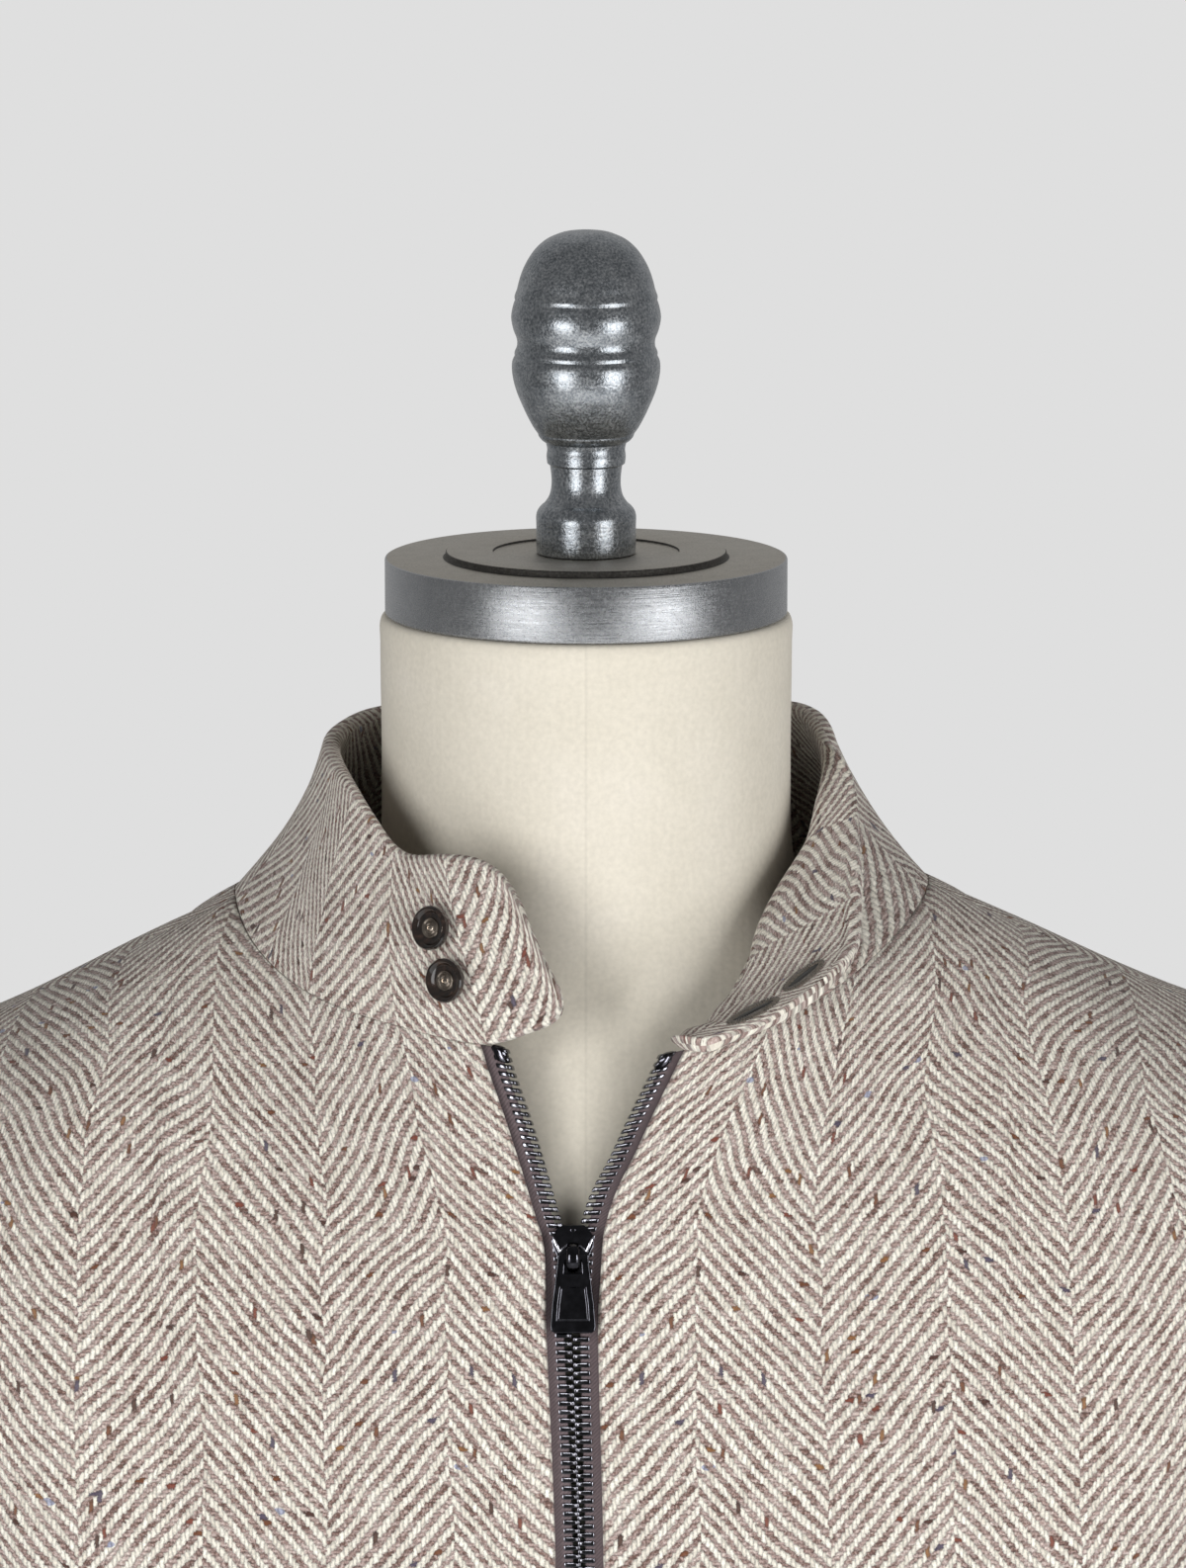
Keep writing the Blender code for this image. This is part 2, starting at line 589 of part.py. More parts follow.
def build_sleeves(material):
    """Two sleeves, each a top and an under piece."""
    pieces = (("top", BACK_SEAM_TURN - 360, FRONT_SEAM_TURN),
              ("under", FRONT_SEAM_TURN, BACK_SEAM_TURN))
    heights = steps_between(0.0, 0.6, 6) + steps_between(0.6, 1.0, 7) + [0.985, 1.0]
    column_turn = 180.0 / ARMHOLE_COLUMNS
    for word, side in (("right", -1), ("left", 1)):
        for part, first, last in pieces:
            columns = round((last - first) / column_turn)
            turns = [first, first + 2.0] + steps_between(first, last, columns)[1:]
            turns += [last - 2.0, last]
            rows = [[sleeve_point(side, turn, height) for turn in turns] for height in heights]
            rows = trim_grid(rows, SEAM_GAP)
            cloth_wall(f"sleeve_{word}_{part}", rows, SLEEVE_CLOTH, material, flip=side > 0)


# --- the zip ----------------------------------------------------------------------------
def edge_frame(side, height):
    """A front edge's point, and the ways into the opening, under the cloth, up and out."""
    step = 0.004
    here = body_point("front", side, 0.0, height)
    beside = body_point("front", side, 0.03, height)
    above = body_point("front", side, 0.0, min(height + step, 1.0))
    below = body_point("front", side, 0.0, max(height - step, 0.0))
    under = (beside - here).normalized()
    drop = CAP_FACE_HEIGHT - here.z / MM
    closed = (drop - ZIP_PARTED_DROP) / (ZIP_LEVEL_DROP - ZIP_PARTED_DROP)
    inward = (-under).lerp(Vector((-side, 0.0, 0.0)), min(1.0, max(0.0, closed))).normalized()
    rise = (above - below).normalized()
    out = rise.cross(inward) * side
    return here, inward, under, rise, out.normalized()


def height_at_drop(side, drop):
    """The height parameter at which a front edge is at this drop."""
    low, high = 0.0, 1.0
    for _ in range(40):
        middle = (low + high) / 2
        reached = CAP_FACE_HEIGHT - body_point("front", side, 0.0, middle).z / MM
        low, high = (middle, high) if reached > drop else (low, middle)
    return (low + high) / 2


def zip_heights(side):
    """Heights along a front edge, from the zip's foot to its top, closer where it opens."""
    drops = [ZIP_BOTTOM_DROP - 64.0 * step for step in range(9)]
    drops += [380, 330, 280, 235, 205, 190, 177, 169, 161, 152, 143, 134, 127]
    return [height_at_drop(side, drop) for drop in drops]


def strip(name, side, reaches, face_depth, thickness, material):
    """A strip along a front edge; reaches run from under the cloth to into the opening."""
    rows = []
    for height in zip_heights(side):
        here, inward, under, _, out = edge_frame(side, height)
        base = here - out * face_depth * MM
        rows.append([base + (inward * reach if reach > 0 else under * -reach) * MM
                     for reach in reaches])
    return cloth_wall(name, rows, thickness, material, flip=side > 0)


def zip_place():
    """The slider's frame: its middle, the way up the zip and the way out."""
    right_height = height_at_drop(-1, ZIP_OPEN_DROP)
    left_height = height_at_drop(1, ZIP_OPEN_DROP)
    right, *_, right_out = edge_frame(-1, right_height)
    left, *_, left_out = edge_frame(1, left_height)
    middle = (right + left) / 2
    out = right_out + left_out
    out = Vector((0.0, out.y, out.z)).normalized()
    rise = Vector((0.0, out.z, -out.y))
    return Matrix.Translation(middle) @ Matrix((
        (1, 0, 0), (0, -out.y, rise.y), (0, -out.z, rise.z))).to_4x4()


def outline_solid(name, outlines, thickness, material):
    """A flat solid in the local XZ plane from closed outlines; a second outline is a hole."""
    curve = bpy.data.curves.new(name, 'CURVE')
    curve.dimensions = '2D'
    curve.fill_mode = 'BOTH'
    curve.extrude = thickness * MM / 2
    for outline in outlines:
        spline = curve.splines.new('POLY')
        spline.points.add(len(outline) - 1)
        for point, (x, z) in zip(spline.points, outline):
            point.co = (x * MM, z * MM, 0.0, 1.0)
        spline.use_cyclic_u = True
    flat = bpy.data.objects.new(name, curve)
    bpy.context.scene.collection.objects.link(flat)
    bpy.context.view_layer.update()
    mesh = bpy.data.meshes.new_from_object(flat.evaluated_get(bpy.context.evaluated_depsgraph_get()))
    bpy.data.objects.remove(flat)
    bm = bmesh.new()
    bm.from_mesh(mesh)
    bmesh.ops.remove_doubles(bm, verts=bm.verts, dist=1e-6)
    bmesh.ops.transform(bm, matrix=Matrix.Rotation(math.pi / 2, 4, 'X'), verts=bm.verts)
    bmesh.ops.recalc_face_normals(bm, faces=bm.faces)
    bm.to_mesh(mesh)
    bm.free()
    return add_object(name, mesh, material)


def unite(thing, tools):
    """Joins tools to a solid, in Boolean modifiers; the tools are kept as guides."""
    for tool in tools:
        bpy.data.collections[COLLECTION_NAME].objects.unlink(tool)
        bpy.data.collections["cutters"].objects.link(tool)
        tool.hide_render = True
        tool.display_type = 'WIRE'
        join = thing.modifiers.new(tool.name, 'BOOLEAN')
        join.operation = 'UNION'
        join.solver = 'EXACT'
        join.object = tool


def build_slider_and_pull(material):
    """The slider with its bridge, and the pull tab that hangs from it."""
    place = zip_place()
    teeth_face = TAPE_BEHIND_FACE + TAPE_THICKNESS / 2 - TEETH_THICKNESS / 2
    plate_back = -(teeth_face - CLEARANCE)
    plate_thickness = SLIDER_PLATE_FACE - plate_back
    shield = ((-6.0, 5.4), (-4.6, 7.2), (-1.5, 7.2), (0.0, 6.2), (1.5, 7.2), (4.6, 7.2),
              (6.0, 5.4), (5.9, -0.4), (4.6, -3.4), (4.6, -8.0), (-4.6, -8.0), (-4.6, -3.4),
              (-5.9, -0.4))
    slider = outline_solid("zip_slider", [shield], plate_thickness, material)
    plate_offset = Vector((0, -(SLIDER_PLATE_FACE + plate_back) / 2, 0)) * MM
    slider.matrix_world = place @ Matrix.Translation(plate_offset)

    teeth_back = teeth_face + TEETH_THICKNESS
    back_thickness = 1.4
    back = outline_solid("slider_back", [shield], back_thickness, material)
    back_middle = teeth_back + CLEARANCE + back_thickness / 2
    back.matrix_world = place @ Matrix.Translation(Vector((0, back_middle, 0)) * MM)

    post_front, post_back = plate_back + 0.4, -(teeth_back + CLEARANCE + 0.5)
    post = outline_solid("slider_post", [((-0.7, 4.9), (0.7, 4.9), (0.7, 6.4), (-0.7, 6.4))],
                         post_front - post_back, material)
    post.matrix_world = place @ Matrix.Translation(Vector((0, -(post_front + post_back) / 2, 0)) * MM)

    bpy.ops.mesh.primitive_torus_add(major_radius=3.6 * MM, minor_radius=0.7 * MM,
                                     major_segments=20, minor_segments=8)
    bridge = bpy.context.object
    bridge.name = "slider_bridge"
    for collection in list(bridge.users_collection):
        collection.objects.unlink(bridge)
    bpy.data.collections[COLLECTION_NAME].objects.link(bridge)
    sink = SLIDER_PLATE_FACE
    bridge.matrix_world = (place @ Matrix.Translation(
        Vector((0, -sink, -PULL_AXLE_BELOW_MIDDLE)) * MM) @ Matrix.Rotation(math.pi / 2, 4, 'Y'))
    bm = bmesh.new()
    bm.from_mesh(bridge.data)
    local_out = Vector((0, -1, 0))
    bmesh.ops.bisect_plane(bm, geom=bm.verts[:] + bm.edges[:] + bm.faces[:],
                           plane_co=-local_out * 0.3 * MM, plane_no=local_out, clear_inner=True)
    bmesh.ops.holes_fill(bm, edges=[edge for edge in bm.edges if edge.is_boundary])
    bmesh.ops.recalc_face_normals(bm, faces=bm.faces)
    bm.to_mesh(bridge.data)
    bm.free()
    unite(slider, [back, post, bridge])

    tab = ((-4.3, 0.75), (4.3, 0.75), (5.0, -4.0), (7.0, 1.6 - PULL_LENGTH), (5.8, -PULL_LENGTH),
           (-5.8, -PULL_LENGTH), (-7.0, 1.6 - PULL_LENGTH), (-5.0, -4.0))
    window = ((-1.7, -0.75), (1.7, -0.75), (1.7, -5.2), (-1.7, -5.2))
    pull = outline_solid("zip_pull", [tab, window], PULL_THICKNESS, material)
    axle = Vector((0, -(SLIDER_PLATE_FACE + AXLE_ABOVE_PLATE), -PULL_AXLE_BELOW_MIDDLE)) * MM
    pull.matrix_world = place @ Matrix.Translation(axle)
    return pull


def build_zip(tape_material, teeth_material, pull_material):
    """Two tapes, two rows of teeth, slider, pull and the box at the foot."""
    teeth_depth = TAPE_BEHIND_FACE + TAPE_THICKNESS / 2 - TEETH_THICKNESS / 2
    half_gap = ZIP_GAP / 2
    for word, side in (("right", -1), ("left", 1)):
        tape_reaches = (-TAPE_UNDER_CLOTH, 0.0, half_gap - TEETH_WIDTH - 2 * CLEARANCE)
        strip(f"zip_tape_{word}", side, tape_reaches, TAPE_BEHIND_FACE, TAPE_THICKNESS,
              tape_material)
        teeth_reaches = (half_gap - TEETH_WIDTH - CLEARANCE / 2, half_gap - CLEARANCE / 2)
        strip(f"zip_teeth_{word}", side, teeth_reaches, teeth_depth, TEETH_THICKNESS,
              teeth_material)
    build_slider_and_pull(pull_material)
    foot, *_, out = edge_frame(1, height_at_drop(1, ZIP_BOTTOM_DROP + 5.5))
    box = outline_solid("zip_retainer", [((-4.2, 4.6), (4.2, 4.6), (4.2, -4.6), (-4.2, -4.6))],
                        4.2, pull_material)
    box.location = Vector((0.0, foot.y, foot.z)) - out * (TAPE_BEHIND_FACE + 0.5) * MM


def build_buttons(material):
    """Two dished buttons on the collar's tab."""
    profile = ((0.0, 1.6), (2.6, 1.4), (4.6, 1.7), (5.6, BUTTON_THICKNESS),
               (BUTTON_RADIUS, BUTTON_THICKNESS - 0.7), (BUTTON_RADIUS - 0.4, 0.6), (4.4, 0.0),
               (0.0, 0.0))
    for name, height in zip(("button_lower", "button_upper"), BUTTON_HEIGHTS):
        here = collar_point(BUTTON_STATION, height)
        side_way = (collar_point(BUTTON_STATION + 0.2, height)
                    - collar_point(BUTTON_STATION - 0.2, height)).normalized()
        rise = (collar_point(BUTTON_STATION, height + 0.1)
                - collar_point(BUTTON_STATION, height - 0.1)).normalized()
        out = side_way.cross(rise).normalized()
        if out.y > 0:
            out = -out
        button = turned(name, profile, 0.0, 24, material)
        lift = CLEARANCE + 0.5
        button.location = here + out * lift * MM
        button.rotation_euler = out.to_track_quat('Z', 'Y').to_euler()


def main():
    for thing in list(bpy.data.objects):
        bpy.data.objects.remove(thing)
    for name in (COLLECTION_NAME, "cutters"):
        bpy.context.scene.collection.children.link(bpy.data.collections.new(name))

    canvas = new_material("cream_canvas", (0.78, 0.74, 0.63), 0.9)
    aluminium = new_material("cast_aluminium", (0.35, 0.36, 0.38), 0.35, 1.0)
    painted = new_material("black_painted_steel", (0.03, 0.03, 0.03), 0.4, 0.2)
    wool = new_material("herringbone_wool", (0.52, 0.47, 0.43), 0.95)
    tape = new_material("zip_tape", (0.11, 0.09, 0.085), 0.85)
    teeth = new_material("gunmetal_teeth", (0.12, 0.12, 0.12), 0.3, 1.0)
    nickel = new_material("black_nickel", (0.02, 0.02, 0.02), 0.15, 0.8)
    horn = new_material("dark_horn", (0.03, 0.02, 0.02), 0.2)

    build_stand(painted, painted, aluminium)
    build_form(canvas)
    build_body(wool)
    build_collar(wool)
    build_sleeves(wool)
    build_zip(tape, teeth, nickel)
    build_buttons(horn)


main()
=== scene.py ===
import json
import math
from functools import lru_cache

import bpy
import numpy as np
from mathutils import Matrix, Vector

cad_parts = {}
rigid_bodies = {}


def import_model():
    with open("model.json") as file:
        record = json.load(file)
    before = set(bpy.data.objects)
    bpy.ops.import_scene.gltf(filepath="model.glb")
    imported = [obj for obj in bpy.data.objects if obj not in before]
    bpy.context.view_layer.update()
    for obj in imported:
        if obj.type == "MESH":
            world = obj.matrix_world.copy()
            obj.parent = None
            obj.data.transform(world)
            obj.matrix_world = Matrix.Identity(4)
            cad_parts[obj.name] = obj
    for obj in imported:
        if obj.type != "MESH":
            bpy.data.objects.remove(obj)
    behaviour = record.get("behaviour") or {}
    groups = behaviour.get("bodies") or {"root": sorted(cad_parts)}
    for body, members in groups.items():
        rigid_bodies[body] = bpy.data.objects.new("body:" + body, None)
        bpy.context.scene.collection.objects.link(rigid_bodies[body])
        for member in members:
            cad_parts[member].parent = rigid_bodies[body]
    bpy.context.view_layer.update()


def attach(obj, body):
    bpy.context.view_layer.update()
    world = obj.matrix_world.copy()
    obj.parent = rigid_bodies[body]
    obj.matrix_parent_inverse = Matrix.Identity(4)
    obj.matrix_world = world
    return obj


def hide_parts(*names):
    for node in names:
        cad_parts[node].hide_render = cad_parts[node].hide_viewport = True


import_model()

# A herringbone overcoat on a tailor's dress form.  Metres, +Z up, the coat faces -Y.
# The tables are in millimetres: x and y from the neck's axis, and drop below the face of
# the neck cap, as in the part's source.
MM = 0.001
CAP_FACE_HEIGHT = 1560.0
COAT = "coat_on_form"
PULL = "zip_pull_tab"

# --- the stand and the form -------------------------------------------------------------
BASE_RADIUS = 210.0
BASE_THICKNESS = 22.0
POLE_RADIUS = 19.0
CLEARANCE = 0.3
CAP_THICKNESS = 16.4
CAP_RAISE = 1.3               # the turned cap sits this much higher than the plain solid
CAP_RADIUS = 58.6
CAP_PLATEAU_RADIUS = 41.0
CAP_RECESS_RADIUS = 27.0
CAP_STEP = 2.0
CAP_RECESS_STEP = 1.1
FORM_FOOT_DROP = 740.0

# Turned profile of the finial: radius, height above the cap's recess; a 1 marks a sharp line.
FINIAL_PROFILE = (
    (0.0, 94.4, 0), (5.8, 93.8, 0), (9.2, 92.7, 0), (11.9, 91.3, 0), (14.6, 88.9, 0),
    (16.8, 85.8, 0), (18.4, 82.6, 0), (19.4, 79.6, 0), (20.0, 77.2, 0), (20.7, 75.2, 0),
    (20.6, 74.0, 1), (21.2, 72.2, 0), (21.7, 69.0, 0), (21.1, 65.6, 0), (20.1, 62.9, 0),
    (20.0, 60.8, 0), (20.7, 59.0, 0), (20.7, 57.8, 1), (21.4, 56.2, 0), (21.5, 53.6, 0),
    (21.1, 50.8, 0), (20.4, 48.2, 0),
    (19.4, 45.5, 0), (17.4, 41.0, 0), (15.4, 37.2, 0), (14.0, 35.2, 1), (13.7, 34.3, 0),
    (12.8, 33.2, 1), (11.7, 32.5, 1), (11.3, 30.6, 0), (11.5, 28.6, 0), (11.3, 26.5, 1),
    (10.5, 25.9, 1), (10.1, 22.6, 0), (10.1, 19.8, 0), (10.7, 17.0, 0), (12.0, 14.9, 1),
    (13.6, 13.4, 0), (14.5, 11.4, 0), (14.5, 8.0, 0), (14.5, 1.2, 0), (14.1, 0.3, 0),
    (13.6, 0.1, 1), (0.0, 0.1, 0),
)

# Horizontal sections of the form: drop, half width, front reach, back reach, squareness.
FORM_SECTIONS = (
    (16.1, 58.0, 58.0, 58.0, 2.0), (17.8, 59.6, 59.6, 59.6, 2.0), (22.0, 60.0, 60.0, 60.0, 2.0),
    (60.0, 59.8, 59.8, 59.8, 2.0), (86.0, 60.6, 60.0, 60.8, 2.0), (97.0, 64.0, 62.0, 64.0, 2.0),
    (104.0, 76.0, 64.5, 67.0, 1.9), (110.0, 96.0, 67.5, 71.0, 1.8),
    (118.0, 113.0, 71.5, 75.0, 1.8), (128.0, 132.0, 77.0, 77.5, 1.8),
    (140.0, 153.0, 84.0, 79.0, 1.8), (153.0, 173.0, 90.0, 80.0, 1.9),
    (170.0, 187.0, 97.0, 82.5, 1.9), (200.0, 190.0, 105.0, 91.0, 2.0),
    (250.0, 184.0, 113.0, 104.0, 2.2), (310.0, 178.0, 117.0, 108.0, 2.3),
    (400.0, 168.0, 116.0, 104.0, 2.3), (480.0, 160.0, 110.0, 100.0, 2.2),
    (580.0, 171.0, 112.0, 111.0, 2.2), (680.0, 178.0, 112.0, 118.0, 2.2),
    (730.0, 177.0, 111.0, 117.0, 2.2), (FORM_FOOT_DROP, 172.0, 107.0, 113.0, 2.2),
)
# The rounded lip below the cap: drop, and scale of the section there.
FORM_LIP = {15.2: 0.955, 15.3: 0.976, 15.6: 0.986, 16.1: 0.993, 16.8: 0.998, 17.6: 1.001,
            18.6: 1.003, 20.4: 1.002, 23.0: 1.0}


# --- the coat's body --------------------------------------------------------------------
CLOTH = 3.0
SLEEVE_CLOTH = 2.6
HEM_DROP = 950.0
RING_DROP = 420.0
RING_HEIGHT = 0.45

# Rings of the body: drop, half width, front reach, back reach, squareness.
BODY_RINGS = (
    (420.0, 198.0, 141.0, 131.0, 2.5), (520.0, 201.0, 142.0, 128.0, 2.4),
    (640.0, 208.0, 144.0, 136.0, 2.3), (780.0, 215.0, 147.0, 145.0, 2.3),
    (950.0, 223.0, 150.0, 152.0, 2.3),
)

# Hanging folds: face, side, centre (0 middle seam, 1 side seam), half width, depth at hem.
HEM_FOLDS = (
    ("front", -1, 0.56, 0.17, 7.0), ("front", -1, 0.86, 0.12, -6.0),
    ("front", 1, 0.50, 0.16, 6.0), ("front", 1, 0.82, 0.14, -7.0),
    ("back", -1, 0.24, 0.15, -9.0), ("back", -1, 0.52, 0.15, 8.0), ("back", -1, 0.82, 0.13, -6.0),
    ("back", 1, 0.20, 0.14, -8.0), ("back", 1, 0.47, 0.15, 9.0), ("back", 1, 0.78, 0.14, -7.0),
)
FOLD_START_DROP = 330.0
NECK_SHARE = 0.30
TIP_SHARE = 0.60
RING_SHARES = ((0.0, 0.0), (NECK_SHARE, 0.34), (TIP_SHARE, 0.58), (0.80, 0.73), (0.90, 0.86),
               (1.0, 1.0))
ARMHOLE = {
    "front": ((228, 5, 153), (225, -32, 166), (215, -61, 206), (205, -76, 255),
              (197, -69, 306), (194, -36, 341), (193.5, 5, 351)),
    "back": ((228, 5, 153), (226, 42, 166), (218, 74, 204), (209, 88, 253),
             (200, 79, 306), (195, 46, 341), (193.5, 5, 351)),
}
SHOULDER_DROP = {-1: 4.0, 1: -3.5}
# How the cloth arrives at its upper edge: share, inward, across, rise, strength.
ARMHOLE_ARRIVAL = (
    (0.45, 0.1, 1.0, 0.04, 1.2), (TIP_SHARE, -0.15, 1.0, -0.06, 1.1),
    (0.667, -0.5, 0.80, 0.35, 0.8), (0.733, -0.6, 0.45, 0.65, 0.8), (0.80, -0.45, 0.2, 0.85, 0.8),
    (0.867, -0.2, 0.15, 0.97, 0.9), (0.933, 0.0, 0.0, 1.0, 1.0), (1.0, 0.0, 0.0, 1.0, 1.0))
ARRIVAL = {
    "front": ((0.0, 0.0, 0.36, 0.93, 0.85), (0.15, 0.15, 0.62, 0.78, 0.9),
              (NECK_SHARE, 0.45, 0.85, 0.19, 1.0), *ARMHOLE_ARRIVAL),
    "back": ((0.0, 0.0, 0.62, 0.78, 0.95), (0.15, 0.25, 0.70, 0.66, 1.0),
             (NECK_SHARE, 0.65, 0.75, 0.28, 1.0), *ARMHOLE_ARRIVAL),
}

# --- the collar -------------------------------------------------------------------------
COLLAR_CLOTH = 5.6
COLLAR_CORNER = 11.5
COLLAR_HEIGHT = 48.0
ZIP_TOP_STATION = 2
NECK_POINT_STATION = 7
OTHER_NECK_POINT_STATION = 15
OTHER_ZIP_TOP_STATION = 20
MIDDLE_BACK_STATION = 11
BUTTONHOLE_BARS = 56
BUTTON_PLACES = (("button_lower", 2.19, 0.335), ("button_upper", 2.26, 0.605))
BUTTON_TILT = math.radians(16)    # a button leans on its thread: sideways,
BUTTON_DIP = math.radians(8)      # and down
COLLAR_STATIONS = (
    (-4.5, -101, 114, -24.5, -84, 74, 0), (-17, -98.5, 118.5, -33, -79.5, 72, 1),
    (-30, -95, 122.8, -42, -73.5, 72, 2), (-50, -86, 120.4, -53, -64.5, 73.2, 3),
    (-71, -71, 117, -62.5, -53, 64, 2), (-86, -55, 112, -69.8, -40, 56.5, 0),
    (-97, -36, 104.4, -74.5, -25, 52.8, -3), (-102.5, -10, 97, -76.5, -4, 52.0, -3.8),
    (-101, 16, 97.5, -74.5, 17, 50.5, -3.8), (-88, 50, 104, -63, 42, 49.0, -2.5),
    (-50, 79, 110, -37, 65, 51, 1), (0, 88, 112, 0, 73, 53, 2),
    (48, 79, 109, 34, 68, 52.0, 2), (84, 51, 102, 56.5, 51, 48.5, 0),
    (97.5, 17, 95, 68.5, 34, 48.5, -1.5), (100, -9, 93, 73.5, 14, 54, -6),
    (94.5, -34, 97.5, 78, -8, 68.5, 0), (82.5, -56, 105.5, 79, -26, 78, 0),
    (67.5, -74, 113.5, 79.5, -41, 86.5, 0), (48.5, -88, 120.3, 79, -54, 94.5, 0),
    (28.5, -94.9, 124.2, 78.5, -64, 101, 0), (29, -101, 123.5, 77.5, -70, 104.5, 0),
    (32, -104, 125, 76, -76, 107, 0),
)
COLLAR_ROLL = (
    (16, 90.0, -29, 92.5, 68.4, -19.5, 72.5), (17, 78.5, -52.0, 100.6, 58.5, -38.5, 87),
    (18, 63.5, -71.5, 108, 48, -60, 100), (19, 46, -87, 116, 40, -79, 112.8),
    (20, 29, -93.8, 121.4, 35, -89, 119.5), (21, 35, -99, 121.5, 46, -94, 118),
    (22, 41, -100, 121.8, 56, -93, 117),
)

# --- the sleeves ------------------------------------------------------------------------
CUFF_DROP = 772.0
SLEEVE_HEAD = 0.6             # the height above which a sleeve curves in to its armhole
SLEEVE_RINGS = (
    (400.0, 247.0, 9.0, 40.0, 88.0), (520.0, 247.0, 3.0, 39.0, 82.0),
    (640.0, 252.0, -6.0, 37.0, 75.0), (772.0, 259.0, -19.0, 34.0, 67.0),
)
FRONT_SEAM_TURN = 135.0
BACK_SEAM_TURN = 247.5

# --- the zip and the buttons ------------------------------------------------------------
ZIP_GAP = 13.4
ZIP_BOTTOM_DROP = 938.0
ZIP_OPEN_DROP = 177.0
ZIP_LEVEL_DROP = 167.0
ZIP_PARTED_DROP = 145.0
ZIP_OPEN_REACH = {-1: 22.0, 1: 24.0}
ZIP_OPEN_HEIGHT = 54.0
ZIP_LEAN = ((122.0, -1.2), (176.0, -3.5), (263.0, -1.8), (420.0, 0.0), (950.0, 0.0))
# How much wider the soft edge falls open than the plain solid's, by drop.
ZIP_EASE = {
    -1: ((110.0, 0.0), (123.0, 0.4), (130.0, 1.7), (138.0, 2.4), (153.0, 3.2), (168.0, 3.0),
         (176.0, 1.8), (184.0, 1.2), (198.0, 1.2), (230.0, 0.5), (270.0, 0.0), (950.0, 0.0)),
    1: ((110.0, 0.0), (124.0, 0.3), (132.0, 1.2), (141.0, 1.9), (153.0, 2.5), (162.0, 1.7),
        (178.0, 1.5), (196.0, 0.2), (215.0, 0.0), (950.0, 0.0)),
}
TAPE_THICKNESS = 1.0
TAPE_BEHIND_FACE = 3.7
TAPE_UNDER_CLOTH = 8.0
TAPE_STEP = 3.0
TOOTH_PITCH = 2.4
FIRST_TOOTH = 8.5             # above the tape's foot, clear of the box
TOOTH_CLAMP = 2.5             # from the zip's middle to the middle of a tooth's clamp
ZIP_TOP_DROP = {-1: 123.2, 1: 124.8}
PULL_THICKNESS = 1.5
AXLE_ABOVE_PLATE = 1.5
SLIDER_PLATE_FACE = 0.6
PULL_AXLE_BELOW_MIDDLE = 3.5
BUTTON_RADIUS = 6.35
BUTTON_LIFT = 1.4             # keeps the edge of a leaning button clear of the cloth

# --- the weave --------------------------------------------------------------------------
STRIPE = 36.0                 # width of one column of the herringbone
END_SPACING = 1.2             # between warp ends, so that a stripe has 30 of them
PICK_SPACING = 1.35           # between weft picks
WARP_FLOAT = 2.15             # how long the warp lies on top, of every 4 picks
FIRST_STRIPE = {-1: 28.5, 1: 27.0}     # from each front edge to the first turn of the twill
# How much closer the stripes lie than the cloth model's own measure, by drop.
STRIPE_GAIN = ((100.0, 1.14), (130.0, 1.12), (150.0, 1.06), (190.0, 0.99), (420.0, 1.0),
               (950.0, 1.0))


# --- small tools ------------------------------------------------------------------------
def spot(x, y, drop):
    """A place given in the tables' millimetres, as a vector in metres."""
    return Vector((x, y, CAP_FACE_HEIGHT - drop)) * MM


def smooth_row(rows, position):
    """The row at a position between rows, on a Catmull-Rom curve; position counts rows."""
    last = len(rows) - 1
    start = min(int(position), last - 1)
    f = position - start
    near = (rows[max(start - 1, 0)], rows[start], rows[start + 1], rows[min(start + 2, last)])
    return tuple(
        0.5 * (2 * b + (c - a) * f + (2 * a - 5 * b + 4 * c - d) * f * f
               + (3 * b - a - 3 * c + d) * f ** 3)
        for a, b, c, d in zip(*near)
    )


def hermite(start, leave, end, arrive, f):
    """Cubic curve from start to end with the two given tangents."""
    return (start * (2 * f ** 3 - 3 * f * f + 1) + leave * (f ** 3 - 2 * f * f + f)
            + end * (3 * f * f - 2 * f ** 3) + arrive * (f ** 3 - f * f))


@lru_cache(maxsize=None)
def row_for(rows, key):
    """The row at a value of the first column, eased between rows of uneven spacing."""
    if key <= rows[0][0]:
        return rows[0]
    for index in range(len(rows) - 1):
        if key <= rows[index + 1][0]:
            break
    low, high = rows[index], rows[index + 1]
    before = rows[max(index - 1, 0)]
    after = rows[min(index + 2, len(rows) - 1)]
    span = high[0] - low[0]
    f = min((key - low[0]) / span, 1.0)
    result = [key]
    for a, b, c, d in list(zip(before, low, high, after))[1:]:
        slope_low = (c - a) / max(high[0] - before[0], 1e-6)
        slope_high = (d - b) / max(after[0] - low[0], 1e-6)
        result.append(hermite(b, slope_low * span, c, slope_high * span, f))
    return tuple(result)


def along(points, share):
    """The point at a share of a polyline's length."""
    steps = [(b - a).length for a, b in zip(points, points[1:])]
    left = share * sum(steps)
    for a, b, step in zip(points, points[1:], steps):
        if left <= step:
            return a.lerp(b, left / step if step else 0.0)
        left -= step
    return points[-1].copy()


def steps_between(first, last, count):
    """Even steps from first up to, but not including, last."""
    return [first + (last - first) * step / count for step in range(count)]


# --- materials --------------------------------------------------------------------------
def linear(colour):
    """An sRGB hex colour as linear RGBA."""
    parts = [int(colour[i:i + 2], 16) / 255 for i in (1, 3, 5)]
    return (*[c / 12.92 if c <= 0.04045 else ((c + 0.055) / 1.055) ** 2.4 for c in parts], 1.0)


